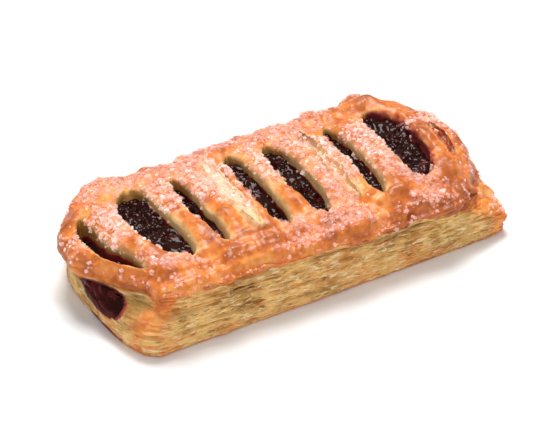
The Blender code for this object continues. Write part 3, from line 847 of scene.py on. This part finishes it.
def fruit_rise(x, y, z, end):
    """How much higher the filling lies than its plain form, most under the open slits."""
    upper = smooth((z - 12.0) / 3.0) * (1 - end)
    closed = sum(np.exp(-((x - SLITS[k][0]) / 3.2) ** 2) for k in SEAMS)
    raised = JAM_RISE + 1.1 * smooth((y - 7.0) / 9.0) - 1.9 * closed
    inner = 1 - smooth((np.abs(x) - 55.0) / 4.0)
    return upper * (0.95 * lumps(x, y, 3.6, 5.0) + raised * inner - 0.4 * (1 - inner))


def make_filling(sizes, material):
    """Thick fruit filling with shiny drupelets, swelling a little out of both ends."""
    step = 0.38
    rings = filling_rings(filling_stations(step), FILLING_ABOVE, FILLING_BELOW)
    count_s, count_a, _ = rings.shape
    points = rings.reshape(-1, 3)
    faces = [face[::-1] for face in grid_quads(count_s, count_a, closed=True)]
    faces.append(list(range(count_a)))
    faces.append(list(range((count_s - 1) * count_a, count_s * count_a))[::-1])
    x, y, z = points.T
    end = smooth((np.abs(x + 0.4) - 62.0) / 3.0)
    fruit = smooth(0.65 + 0.9 * lumps(x, y, 5.5, 3.0) - 0.2 * end)
    round_tops = beads(x + 0.9 * z, y + 0.3 * z, sizes.drupelet / MM)
    soft = 0.3 * lumps(x + z, y - z, 1.9, 7.0)
    lift = 1.4 * fruit * (round_tops - 0.75) + (1 - fruit) * soft
    rise = fruit_rise(x, y, z, end)
    points = points + vertex_normals(points, faces) * lift[:, None]
    points[:, 2] += rise
    filling = make_piece("fruit_filling", points, faces, {"fruit": fruit * round_tops, "end": end})
    filling.data.materials.append(material)
    return filling


# ---- sugar ----
def near_slit(x, y, margin, slits=SLITS):
    """True where points of the top are over a slit or closer to its lip than the margin."""
    near = np.zeros(np.shape(x), dtype=bool)
    for middle, left, right, front, back, *_ in slits:
        along = np.abs(y - (front + back) / 2) / ((back - front) / 2 + margin)
        reach = CRUST_LEFT if middle < 0 else CRUST_RIGHT
        bowed = crust_plan(middle / reach, y / CRUST_HALF_WIDTH)[0]
        narrow = (1 - np.minimum(along, 1.0) ** LIP_BEND) ** LIP_POWER
        low, high = bowed - left * narrow - margin, bowed + right * narrow + margin
        near |= (along < 1) & (x > low) & (x < high)
    return near


def coarse_places():
    """Seeded places of the coarse crystals that the solid carries too."""
    rng = np.random.default_rng(SEED + 1)
    places = []
    while len(places) < COARSE_COUNT:
        s, t = rng.uniform(-0.97, 0.97), rng.uniform(-0.97, 0.97)
        x, y = (float(v) for v in crust_plan(s, t))
        thin = float(lumps(x, y, 12.0, 9.0)) < -0.25
        if near_slit(x, y, 1.7) or (thin and rng.random() < 0.75):
            continue
        if any((x - a) ** 2 + (y - b) ** 2 < COARSE_SPACING ** 2 for a, b, *_ in places):
            continue
        places.append((x, y, rng.uniform(0, 1), rng.uniform(-0.5, 0.5, 3)))
    places.sort(key=lambda place: -place[2])
    low, high = COARSE_SIZE
    return [(x, y, low + (high - low) * share ** 2, turn) for x, y, share, turn in places]


def sugar_cover(s, t, x, y):
    """Share of the sugar that stays at a place: thick on rungs and rim, thin on bare glaze."""
    patch = lumps(x, y, 12.0, 9.0) + 0.6 * lumps(x, y, 5.0, 13.0) + 0.4 * lumps(x, y, 2.4, 19.0)
    rungs = np.exp(-((t - 0.1) / 0.42) ** 4) * (0.48 + 0.4 * np.exp(-((s + 0.74) / 0.1) ** 2))
    back_band = 0.45 * smooth((t - 0.6) / 0.2)
    front_middle = smooth((s + 0.25) / 0.2) * (1 - smooth((s - 0.15) / 0.3))
    front_band = 1.35 * smooth((-t - 0.48) / 0.2) * front_middle
    calm = 0.8 * smooth((-t - 0.6) / 0.2) * smooth((-s - 0.2) / 0.3)
    calm = calm + 0.15 * smooth((-t - 0.72) / 0.15) * smooth((s - 0.2) / 0.3)
    calm = calm + 0.8 * smooth((-s - 0.84) / 0.08) + 0.3 * smooth((s - 0.8) / 0.1)
    patch = patch + rungs + back_band + front_band - calm
    for seam in CREAMY_SEAMS:
        patch = patch + 0.7 * np.exp(-((x - SLITS[seam][0]) / 3.0) ** 2 - (t / 0.6) ** 4)
    for middle_s, middle_t, wide_s, wide_t in BARE_SPOTS:
        away = ((s - middle_s) / wide_s) ** 2 + ((t - middle_t) / wide_t) ** 2
        patch = patch - 1.6 * np.exp(-away)
    return smooth((patch + 0.55) / 1.3) * 0.97 + 0.03


def scattered(count, seed, low, high, margin):
    """Seeded places for finer sugar of sizes from low to high, in millimetres."""
    rng = np.random.default_rng(seed)
    tries = count * 4
    s, t = rng.uniform(-0.985, 0.985, (2, tries))
    x, y = crust_plan(s, t)
    open_slits = [slit for slit in SLITS if slit[5] is None]
    keep = (rng.random(tries) < sugar_cover(s, t, x, y)) & ~near_slit(x, y, margin, open_slits)
    size = low + (high - low) * rng.uniform(size=tries) ** FINE_BIAS
    turn = rng.uniform(-0.5, 0.5, (tries, 3))
    chosen = np.flatnonzero(keep)[:count]
    return [(x[k], y[k], size[k], turn[k]) for k in chosen]


def edge_places(count, seed, low, high):
    """Seeded points beside the crust's edge and on the front right corner, with sizes."""
    rng = np.random.default_rng(seed)
    places = []
    for k in range(count):
        if k % 4:
            s, t = rng.uniform(-1, 1), rng.choice((-1.0, -1.0, 1.0))
            height = rim_height(s, t) * rng.uniform(0.9, 1.02)
            if rng.random() < 0.3:
                s, t = rng.choice((-1.0, 1.0)), rng.uniform(-1, 1)
            x, y = crust_plan(s, t)
        else:
            if rng.random() < 0.6:
                s, t = 1.0, -rng.uniform(0.3, 1.0)
            else:
                s, t = rng.uniform(0.9, 1.0), -1.0
            x, y = base_plan(s, t)
            height = rng.uniform(3.0, 15.0)
        size = low + (high - low) * rng.uniform() ** FINE_BIAS
        spot = Vector((float(x), float(y), float(height)))
        places.append((spot, size, rng.uniform(-0.5, 0.5, 3)))
    return places


def crystal_form(rng, bevelled):
    """Corners of one uneven crystal of unit size."""
    corners = np.array(CUBE_CORNERS) * 0.5 * rng.uniform(0.68, 1.15, (8, 3))
    if not bevelled:
        return corners
    cut = np.ones((8, 3, 3)) - np.eye(3) * rng.uniform(0.22, 0.48, (8, 3, 1))
    return (corners[:, None, :] * cut).reshape(24, 3)


def bevelled_faces():
    """Faces of a cube whose corners are cut off: three points at each corner."""
    faces = []
    for index, corner in enumerate(CUBE_CORNERS):
        flip = corner[0] * corner[1] * corner[2] > 0
        trio = (index * 3, index * 3 + 1, index * 3 + 2)
        faces.append(trio if flip else trio[::-1])
    for axis in range(3):
        u, v = (axis + 1) % 3, (axis + 2) % 3
        for sign in (-1, 1):
            ring = [(-1, -1), (1, -1), (1, 1), (-1, 1)]
            loop = []
            for k, (a, b) in enumerate(ring):
                want = [0, 0, 0]
                want[axis], want[u], want[v] = sign, a, b
                corner = CUBE_CORNERS.index(tuple(want))
                first, second = (u, v) if k % 2 else (v, u)
                loop += [corner * 3 + first, corner * 3 + second]
            faces.append(tuple(loop if sign > 0 else loop[::-1]))
    return faces


def plain_faces():
    """Faces of a cube with its corners in the order of CUBE_CORNERS."""
    return [(0, 1, 3, 2), (4, 6, 7, 5), (0, 4, 5, 1), (2, 3, 7, 6), (0, 2, 6, 4), (1, 5, 7, 3)]


def rotation(normal, turn):
    """Matrix that stands a crystal on a surface and spins and tilts it by `turn`."""
    tilt = Vector(normal).to_track_quat("Z", "Y").to_matrix()
    spin = Euler((turn[0], turn[1], turn[2] * 6.0)).to_matrix()
    return np.array(tilt @ spin)


def seats(pastry, top_places, beside):
    """Where each crystal sits on the pastry: its point in millimetres, normal, size and turn."""
    found_seats = []
    middle = Vector((*BOX_MIDDLE, 0.0))
    for x, y, size, turn in top_places:
        above = (Vector((x, y, 60.0)) - middle) * MM
        found, point, normal, _ = pastry.ray_cast(above, Vector((0, 0, -1)))
        if found and normal.z > 0.25:
            found_seats.append((point / MM + middle, normal.copy(), size, turn))
    for place, size, turn in beside:
        found, point, normal, _ = pastry.closest_point_on_mesh((place - middle) * MM)
        if found and normal.z > -0.3:
            found_seats.append((point / MM + middle, normal.copy(), size, turn))
    return found_seats


def make_crystals(name, placed_seats, seed, bevelled, material):
    """Sugar crystals as one mesh, each partly sunk in the crust."""
    rng = np.random.default_rng(seed)
    faces_one = bevelled_faces() if bevelled else plain_faces()
    points, faces, tone = [], [], []
    for point, normal, size, turn in placed_seats:
        corners = crystal_form(rng, bevelled) * np.array(CRYSTAL_SHAPE) * size
        centre = np.array(point + normal * size * CRYSTAL_SINK)
        start = len(points)
        points.extend((corners @ rotation(normal, turn).T + centre).tolist())
        faces.extend([tuple(start + k for k in face) for face in faces_one])
        white = 0.3 * math.exp(-((point[1] - 3.0) / 13.0) ** 4) - 0.1
        tone.extend([rng.uniform() + white] * len(corners))
    sugar = make_piece(name, np.array(points), faces, {"tone": np.array(tone)}, False)
    sugar.data.materials.append(material)
    return sugar


def make_sugar(sizes, pastry, material):
    """Coarse crystals and fine grit over the crust, as two pieces."""
    small, large = sizes.crystal_small / MM, sizes.crystal_large / MM
    split = small + 0.35 * (large - small)
    coarse = coarse_places() + scattered(sizes.crystals, SEED + 2, split, large, -0.1)
    coarse_seats = seats(pastry, coarse, edge_places(EDGE_COARSE, SEED + 5, split, large))
    coarse_seats += [(Vector(spot), Vector(normal), FOOT_CRYSTAL_SIZE, FOOT_CRYSTAL_TURN)
                     for spot, normal in FOOT_CRYSTALS]
    grit = scattered(sizes.grit, SEED + 6, small, split, -0.5)
    grit_seats = seats(pastry, grit, edge_places(EDGE_FINE, SEED + 7, small, split))
    return (make_crystals("coarse_sugar", coarse_seats, SEED + 3, True, material),
            make_crystals("fine_sugar", grit_seats, SEED + 8, False, material))


# ---- loose flakes ----
def flake_strip(rng):
    """Five rows of points, seen from its end, of one thin ragged layer along a side."""
    around, height, length = rng.uniform(0, 1), rng.uniform(1.6, 14.5), rng.uniform(4.0, 15.0)
    steps = max(6, int(length / 0.7))
    s, t, out_x, out_y = side_place(around, np.linspace(-0.5, 0.5, steps) * length)
    x, y = side_plan(s, t, height)
    wave = 0.5 * lumps(x + y, height, 6.0, 31.0)
    fade = 1 - np.abs(np.linspace(-1, 1, steps)) ** 3
    wide = rng.uniform(0.5, 1.15) * fade * (0.75 + 0.5 * lumps(x + y, height * 9, 1.4, 33.0))
    thick, droop = rng.uniform(0.1, 0.2), rng.uniform(-0.35, 0.25)
    rows = []
    for reach, rise in FLAKE_SECTION:
        out = reach * wide if reach > 0 else reach
        z = height + wave + droop * max(reach, 0) * fade + rise * thick * fade
        rows.append(np.stack([x + out_x * out, y + out_y * out, z], -1))
    return np.stack(rows, 1)


def make_flakes(sizes, material):
    """Thin ragged layers that lift from the front, back and end faces as one mesh."""
    rng = np.random.default_rng(SEED + 4)
    strips, faces, bake, start = [], [], [], 0
    for _ in range(sizes.flakes):
        strip = flake_strip(rng)
        steps, rows, _ = strip.shape
        faces.extend([face[::-1] for face in grid_quads(steps, rows, start, closed=True)])
        faces.append(tuple(range(start, start + rows)))
        faces.append(tuple(range(start + rows * (steps - 1), start + rows * steps))[::-1])
        bake.extend([rng.uniform(0.0, 1.0)] * (rows * steps))
        strips.append(strip.reshape(-1, 3))
        start += rows * steps
    flakes = make_piece("loose_flakes", np.concatenate(strips), faces, {"bake": np.array(bake)})
    flakes.data.materials.append(material)
    return flakes


def side_place(around, run):
    """Fractions s and t and the outward direction along a stretch of the side."""
    if around < 2 * FRONT_SHARE:
        turns = around / FRONT_SHARE
        middle = -0.93 + 1.86 * (turns if turns < 1 else turns - 1)
        s = np.clip(middle + run / CRUST_LEFT, -0.97, 0.97)
        facing = -1.0 if turns < 1 else 1.0
        return s, np.full_like(s, facing), 0 * s, 0 * s + facing
    side = -1.0 if around < 0.96 else 1.0
    middle = -0.6 if int(around * 1000) % 2 else 0.72
    t = np.clip(middle + run / CRUST_HALF_WIDTH * 0.4, -0.97, 0.97)
    return np.full_like(t, side), t, 0 * t + side, 0 * t


# ---- shader helpers ----
def socket(tree, kind, name, shape, value=None):
    """A named input or output of a shader node group."""
    made = tree.interface.new_socket(name=name, in_out=kind, socket_type="NodeSocket" + shape)
    if value is not None:
        made.default_value = value
    return made


def add(tree, kind, **values):
    """A shader node with its own properties set."""
    node = tree.nodes.new("ShaderNode" + kind)
    for key, value in values.items():
        setattr(node, key, value)
    return node


def feed(tree, source, target):
    """Link an output to an input, or set the input to a plain value."""
    if isinstance(source, bpy.types.NodeSocket):
        tree.links.new(source, target)
    elif target.type == "RGBA":
        target.default_value = (*source[:3], 1.0)
    else:
        target.default_value = source


def fill_in(tree, node, **inputs):
    """Link or set several inputs of a node; an underscore stands for a space."""
    for name, source in inputs.items():
        feed(tree, source, node.inputs[name.replace("_", " ")])
    return node


def own_place(tree):
    """The object's own coordinates, from one node in each tree."""
    known = [node for node in tree.nodes if node.bl_idname == "ShaderNodeTexCoord"]
    return (known[0] if known else add(tree, "TexCoord")).outputs["Object"]


def noise(tree, scale, detail=3.0, place=None, rough=0.55):
    """Noise over the object's own coordinates; the scale is in patches to a metre."""
    node = add(tree, "TexNoise")
    fill_in(tree, node, Vector=place or own_place(tree), Scale=scale, Detail=detail,
            Roughness=rough)
    return node.outputs["Fac"]


def stretched(tree, along, upright, detail=4.0):
    """Noise drawn out along the sides: patches to a metre along them and up them."""
    mapping = fill_in(tree, add(tree, "Mapping"), Vector=own_place(tree),
                      Scale=(along, along, upright))
    return noise(tree, 1.0, detail, mapping.outputs["Vector"], 0.7)


def span(tree, value, low, high, to_low=0.0, to_high=1.0):
    """A value remapped smoothly from low..high to to_low..to_high."""
    node = add(tree, "MapRange", interpolation_type="SMOOTHSTEP")
    fill_in(tree, node, Value=value, From_Min=low, From_Max=high, To_Min=to_low, To_Max=to_high)
    return node.outputs["Result"]


def compute(tree, operation, first, second, clamp=False):
    """Arithmetic on two values."""
    node = add(tree, "Math", operation=operation, use_clamp=clamp)
    feed(tree, first, node.inputs[0])
    feed(tree, second, node.inputs[1])
    return node.outputs[0]


def plus(tree, first, second, clamp=False):
    """Two values added."""
    return compute(tree, "ADD", first, second, clamp)


def times(tree, first, second, clamp=False):
    """Two values multiplied."""
    return compute(tree, "MULTIPLY", first, second, clamp)


def blend(tree, share, first, second):
    """Two colours mixed by a share."""
    node = add(tree, "Mix", data_type="RGBA")
    for number, source in ((0, share), (6, first), (7, second)):
        feed(tree, source, node.inputs[number])
    return node.outputs[2]


def layered_on(tree, colour, *layers):
    """A colour with others blended over it in turn, each given as (share, colour)."""
    for share, upper in layers:
        colour = blend(tree, share, colour, upper)
    return colour


def reading(tree, name):
    """A point finish stored on the mesh."""
    return add(tree, "Attribute", attribute_name=name).outputs["Fac"]


def placed(tree, group, **inputs):
    """A node group placed in a material with its own values."""
    return fill_in(tree, add(tree, "Group", node_tree=group), **inputs)


def bumped(tree, height, strength, distance):
    """A normal that follows a height."""
    node = fill_in(tree, add(tree, "Bump"), Height=height, Strength=strength, Distance=distance)
    return node.outputs["Normal"]


def new_material(name):
    """An empty material with its shader."""
    material = bpy.data.materials.new(name)
    material.use_nodes = True
    tree = material.node_tree
    return material, tree, tree.nodes["Principled BSDF"]


def new_group(name, **inputs):
    """A node group that puts out a colour and a relief: tree, entry's sockets and end node."""
    tree = bpy.data.node_groups.new(name, "ShaderNodeTree")
    for key, value in inputs.items():
        socket(tree, "INPUT", key, "Float", value)
    socket(tree, "OUTPUT", "Color", "Color")
    socket(tree, "OUTPUT", "Relief", "Float")
    return tree, tree.nodes.new("NodeGroupInput").outputs, tree.nodes.new("NodeGroupOutput")


def baked_dough_group(colours):
    """Golden to dark baked colour by how far a place is baked, mottled, and its relief."""
    tree, entry, leave = new_group("Baked dough", Bake=0.5, Mottling=0.3)
    broad = span(tree, noise(tree, 170.0, 1.5), 0.34, 0.66, -0.34, 0.3)
    fine = span(tree, noise(tree, 480.0, 1.0), 0.36, 0.64, -0.2, 0.2)
    swing = times(tree, plus(tree, broad, fine), entry["Mottling"])
    level = plus(tree, entry["Bake"], swing, True)
    colour = blend(tree, span(tree, level, 0.0, 0.42), colours.golden, colours.amber)
    colour = layered_on(tree, colour,
                        (span(tree, level, 0.38, 0.78), colours.brown),
                        (span(tree, level, 0.86, 1.2), colours.dark))
    fill_in(tree, leave, Color=colour, Relief=times(tree, noise(tree, 520.0, 1.0), 0.55))
    return tree


def layered_dough_group(colours):
    """Pale dough drawn out in thin layers, from cream over tan to olive, with painted shade in
    olive between layers and for damp, shaded dough.
    """
    tree, entry, leave = new_group("Layered dough", Damp=0.0, Browning=0.3)
    sheets, finer = stretched(tree, 105.0, 1150.0), stretched(tree, 330.0, 1800.0)
    streaks = plus(tree, span(tree, sheets, 0.41, 0.62, 0.0, 0.8),
                   span(tree, finer, 0.4, 0.62, -0.34, 0.36))
    patches = span(tree, noise(tree, 140.0), 0.36, 0.66, -0.45, 0.5)
    browned = times(tree, plus(tree, streaks, patches), entry["Browning"], True)
    flecks = span(tree, stretched(tree, 240.0, 1400.0, 3.0), 0.54, 0.64)
    # Olive between the layers' streaks is painted shade between the layers.
    shaded_gaps = times(tree, span(tree, streaks, 0.8, 1.4), entry["Browning"])
    colour = layered_on(tree, colours.dough,
                        (browned, colours.tan),
                        (span(tree, noise(tree, 75.0), 0.5, 0.66, 0.0, 0.42), colours.amber),
                        (span(tree, noise(tree, 55.0), 0.5, 0.66, 0.0, 0.38), colours.olive),
                        (flecks, colours.fleck),
                        (shaded_gaps, colours.olive),
                        (entry["Damp"], colours.olive))
    fill_in(tree, leave, Color=colour, Relief=plus(tree, sheets, finer))
    return tree


def crust_share(tree):
    """How much of a place is glazed crust rather than dough, with a ragged border."""
    ragged = span(tree, noise(tree, 520.0), 0.3, 0.7, -0.14, 0.14)
    return span(tree, plus(tree, reading(tree, "crust"), ragged), 0.05, 0.95)


def fruit_soaked(tree):
    """How far juice has soaked into a place, with an uneven border."""
    stain = reading(tree, "stain")
    uneven = span(tree, noise(tree, 330.0), 0.3, 0.7, -0.2, 0.2)
    soaked = span(tree, plus(tree, stain, uneven), 0.1, 0.9)
    return times(tree, soaked, span(tree, stain, 0.0, 0.12))


def pastry_material(colours, baked, layered):
    """Egg-washed crust, pale dough in the slits, browned layers and fruit stains, with painted
    shade in olive in the slits and the side's gaps and hollows.
    """
    material, tree, shader = new_material("egg_washed_pastry")
    damp_shade, layers, sugared = (reading(tree, name) for name in ("damp_shade", "layers", "sugared"))
    share, soaked = crust_share(tree), fruit_soaked(tree)
    top = placed(tree, baked, Bake=reading(tree, "bake"), Mottling=0.6).outputs
    browning = span(tree, layers, 0.0, 1.0, 0.15, 0.85)
    dough = placed(tree, layered, Damp=damp_shade, Browning=browning).outputs
    grains = times(tree, span(tree, noise(tree, 520.0, 1.0), 0.4, 0.62), 0.46)
    # The first olive layer is damp dough and painted shade.
    colour = layered_on(tree, colours.crumb,
                        (damp_shade, colours.olive),
                        (span(tree, layers, 0.0, 0.5), dough["Color"]),
                        (share, top["Color"]),
                        (times(tree, span(tree, sugared, 0.25, 1.0), grains), colours.frosting),
                        (span(tree, sugared, 1.0, 1.7, 0.0, 0.7), colours.cream),
                        (span(tree, soaked, 0.0, 0.55), colours.stain),
                        (span(tree, soaked, 0.4, 1.0), colours.juice))
    dull = plus(tree, span(tree, share, 0.0, 1.0, 0.72, 0.42),
                span(tree, noise(tree, 260.0), 0.3, 0.7, -0.06, 0.08))
    relief = plus(tree, times(tree, top["Relief"], share),
                  times(tree, dough["Relief"], span(tree, share, 0.0, 1.0, 1.0, 0.0)))
    fill_in(tree, shader, Base_Color=colour, Normal=bumped(tree, relief, 0.5, 0.0004),
            Roughness=plus(tree, dull, times(tree, soaked, -0.25)), Specular_IOR_Level=0.28,
            Coat_Weight=span(tree, share, 0.3, 1.0, 0.0, 0.22), Coat_Roughness=0.26)
    return material


def fruit_relief(tree):
    """Small hollows between the drupelets, and finer unevenness on them."""
    cells = fill_in(tree, add(tree, "TexVoronoi", feature="SMOOTH_F1"), Vector=own_place(tree),
                    Scale=380.0, Smoothness=0.25)
    hollow = compute(tree, "POWER", cells.outputs["Distance"], 2.0)
    return compute(tree, "SUBTRACT", times(tree, noise(tree, 350.0, 1.0), 0.3), hollow)


def filling_material(colours):
    """Nearly black, glossy berry filling with red where it thins."""
    material, tree, shader = new_material("glossy_fruit_filling")
    fruit, end = reading(tree, "fruit"), reading(tree, "end")
    patches = span(tree, noise(tree, 210.0), 0.56, 0.74)
    thin = times(tree, patches, span(tree, fruit, 0.0, 0.9, 0.7, 0.25))
    thin_end = times(tree, end, span(tree, noise(tree, 90.0), 0.4, 0.6, 0.0, 0.45))
    colour = blend(tree, plus(tree, thin, thin_end, True), colours.berry, colours.juice)
    dull = span(tree, noise(tree, 480.0), 0.4, 0.65, 0.03, 0.16)
    fill_in(tree, shader, Base_Color=colour, Roughness=plus(tree, dull, times(tree, end, 0.14)),
            Specular_IOR_Level=0.04, Specular_Tint=FRUIT_GLEAM, Coat_Roughness=0.09,
            Coat_Weight=plus(tree, 0.2, times(tree, end, -0.05)),
            Normal=bumped(tree, fruit_relief(tree), 0.4, 0.0008))
    return material


def sugar_material(colours):
    """Cloudy, faintly pink crystals that let most light through to the crust, with a faint painted
    glow.
    """
    material, tree, shader = new_material("coarse_sugar")
    tone = reading(tree, "tone")
    colour = blend(tree, span(tree, tone, 0.6, 1.0), colours.sugar, colours.bright_sugar)
    shadow = add(tree, "LightPath").outputs["Is Shadow Ray"]
    passing = plus(tree, 1.0, times(tree, shadow, -0.6))
    # The emission is a painted glow that lightens the crystals' shaded sides.
    fill_in(tree, shader, Base_Color=colour, Emission_Color=colour, Emission_Strength=0.14,
            Roughness=span(tree, noise(tree, 1500.0), 0.3, 0.7, 0.1, 0.35),
            Alpha=times(tree, span(tree, tone, 0.2, 1.0, 0.1, 0.46), passing),
            Specular_IOR_Level=0.6)
    return material


def flake_material(baked, layered):
    """Thin layers, each baked somewhere between pale and brown."""
    material, tree, shader = new_material("baked_flakes")
    bake = reading(tree, "bake")
    top = placed(tree, baked, Bake=span(tree, bake, 0.0, 1.0, 0.05, 0.5), Mottling=0.5).outputs
    dough = placed(tree, layered, Damp=0.0, Browning=0.5).outputs
    share = span(tree, bake, 0.3, 1.0, 0.1, 0.7)
    fill_in(tree, shader, Base_Color=blend(tree, share, dough["Color"], top["Color"]),
            Roughness=span(tree, bake, 0.0, 1.0, 0.62, 0.5),
            Normal=bumped(tree, top["Relief"], 0.4, 0.0003))
    return material


def floor_material(colours):
    """Plain pale floor."""
    material, tree, shader = new_material("pale_floor")
    fill_in(tree, shader, Base_Color=colours.floor, Roughness=0.9, Specular_IOR_Level=0.1)
    return material


# ---- the stage: camera, lamps, floor and sky ----
AZIMUTH = math.radians(-29.6)
ELEVATION = math.radians(36.1)
TARGET = Vector((2.96 - BOX_MIDDLE[0], 2.36 - BOX_MIDDLE[1], 6.3)) * MM
FRAME_WIDTH = 0.1731
LENS = 300.0
SENSOR = 36.0
LAMP_TARGET = (0.0, 0.0, 0.01)
SKY_STRENGTH = 0.31
FLOOR_HALF = 4.0
FLOOR_DROP = 0.0001


def aim(item, place, target):
    """Turn a camera or lamp at a place towards a target."""
    item.location = place
    item.rotation_mode = "QUATERNION"
    item.rotation_quaternion = (Vector(target) - Vector(place)).to_track_quat("-Z", "Y")


def add_camera():
    """A long lens looking down at the slice from the front left."""
    data = bpy.data.cameras.new("camera")
    data.lens, data.sensor_width = LENS, SENSOR
    data.clip_start, data.clip_end = 0.05, 20.0
    camera = bpy.data.objects.new("camera", data)
    bpy.context.scene.collection.objects.link(camera)
    away = Vector((math.sin(AZIMUTH) * math.cos(ELEVATION),
                   -math.cos(AZIMUTH) * math.cos(ELEVATION), math.sin(ELEVATION)))
    aim(camera, TARGET + away * (FRAME_WIDTH * LENS / SENSOR), TARGET)
    bpy.context.scene.camera = camera


def add_lamp(name, place, size, power):
    """A square soft lamp aimed at the slice."""
    data = bpy.data.lights.new(name, "AREA")
    data.size, data.energy = size, power
    lamp = bpy.data.objects.new(name, data)
    bpy.context.scene.collection.objects.link(lamp)
    aim(lamp, Vector(place), LAMP_TARGET)


def add_floor(material):
    """A wide plain floor just under the slice."""
    mesh = bpy.data.meshes.new("floor")
    corners = [(x * FLOOR_HALF, y * FLOOR_HALF, 0) for x, y in ((-1, -1), (1, -1), (1, 1), (-1, 1))]
    mesh.from_pydata(corners, [], [(0, 1, 2, 3)])
    floor = bpy.data.objects.new("floor", mesh)
    floor.location.z = -FLOOR_DROP
    mesh.materials.append(material)
    bpy.context.scene.collection.objects.link(floor)


def add_sky():
    """Even white light from all round."""
    world = bpy.data.worlds.new("studio")
    world.use_nodes = True
    background = world.node_tree.nodes["Background"]
    background.inputs["Color"].default_value = (1.0, 1.0, 1.0, 1.0)
    background.inputs["Strength"].default_value = SKY_STRENGTH
    bpy.context.scene.world = world


# ---- operators ----
def sizes_now():
    """The sizes as they are set in the scene."""
    return bpy.context.scene.strudel_sizes


def colours_now():
    """The colours as they are set in the scene."""
    return bpy.context.scene.strudel_colours


def dough_groups():
    """The shader groups that crust and flakes share, built once."""
    baked = bpy.data.node_groups.get("Baked dough") or baked_dough_group(colours_now())
    layered = (bpy.data.node_groups.get("Layered dough")
               or layered_dough_group(colours_now()))
    return baked, layered


class STRUDEL_OT_bake_pastry(Operator):
    """Bake the pastry with its slits, flaky sides and fruit stains"""

    bl_idname = "strudel.bake_pastry"
    bl_label = "Bake pastry"

    def execute(self, context):
        pastry = make_pastry(sizes_now(), pastry_material(colours_now(), *dough_groups()))
        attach(pastry, "root")
        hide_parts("pastry")
        return {"FINISHED"}


class STRUDEL_OT_spread_filling(Operator):
    """Spread the glossy fruit filling through the pastry"""

    bl_idname = "strudel.spread_filling"
    bl_label = "Spread filling"

    def execute(self, context):
        filling = make_filling(sizes_now(), filling_material(colours_now()))
        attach(filling, "root")
        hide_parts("filling")
        return {"FINISHED"}


class STRUDEL_OT_sprinkle_sugar(Operator):
    """Sprinkle coarse sugar over the baked crust"""

    bl_idname = "strudel.sprinkle_sugar"
    bl_label = "Sprinkle sugar"

    def execute(self, context):
        pastry = bpy.data.objects["baked_pastry"]
        for sugar in make_sugar(sizes_now(), pastry, sugar_material(colours_now())):
            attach(sugar, "root")
        return {"FINISHED"}


class STRUDEL_OT_lift_flakes(Operator):
    """Lift thin loose flakes from the sides"""

    bl_idname = "strudel.lift_flakes"
    bl_label = "Lift flakes"

    def execute(self, context):
        flakes = make_flakes(sizes_now(), flake_material(*dough_groups()))
        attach(flakes, "root")
        return {"FINISHED"}


class STRUDEL_OT_set_stage(Operator):
    """Set the pale floor, the soft lights and the camera"""

    bl_idname = "strudel.set_stage"
    bl_label = "Set stage"

    def execute(self, context):
        add_floor(floor_material(colours_now()))
        add_sky()
        for name, place, size, power in LAMPS:
            add_lamp(name, place, size, power)
        add_camera()
        context.scene.view_settings.view_transform = "Standard"
        return {"FINISHED"}


class STRUDEL_PT_sidebar(Panel):
    """Sizes, colours and steps of the strudel"""

    bl_idname = "STRUDEL_PT_sidebar"
    bl_label = "Lattice strudel"
    bl_space_type = "VIEW_3D"
    bl_region_type = "UI"
    bl_category = "Strudel"

    def draw(self, context):
        layout = self.layout
        for group in (context.scene.strudel_sizes, context.scene.strudel_colours):
            column = layout.column(align=True)
            for name in group.__annotations__:
                column.prop(group, name)
        for operator in OPERATORS:
            layout.operator(operator.bl_idname)


OPERATORS = (STRUDEL_OT_bake_pastry, STRUDEL_OT_spread_filling, STRUDEL_OT_sprinkle_sugar,
             STRUDEL_OT_lift_flakes, STRUDEL_OT_set_stage)
CLASSES = (StrudelSizes, StrudelColours, *OPERATORS, STRUDEL_PT_sidebar)


def register():
    """Add the classes and the settings that hold them to Blender."""
    for cls in CLASSES:
        bpy.utils.register_class(cls)
    bpy.types.Scene.strudel_sizes = PointerProperty(type=StrudelSizes)
    bpy.types.Scene.strudel_colours = PointerProperty(type=StrudelColours)


def unregister():
    """Take the settings and classes out again."""
    del bpy.types.Scene.strudel_sizes
    del bpy.types.Scene.strudel_colours
    for cls in reversed(CLASSES):
        bpy.utils.unregister_class(cls)


def main():
    """Make every piece in order, then the stage."""
    register()
    bpy.ops.strudel.bake_pastry()
    bpy.ops.strudel.spread_filling()
    bpy.ops.strudel.sprinkle_sugar()
    bpy.ops.strudel.lift_flakes()
    bpy.ops.strudel.set_stage()


if __name__ == "__main__":
    main()
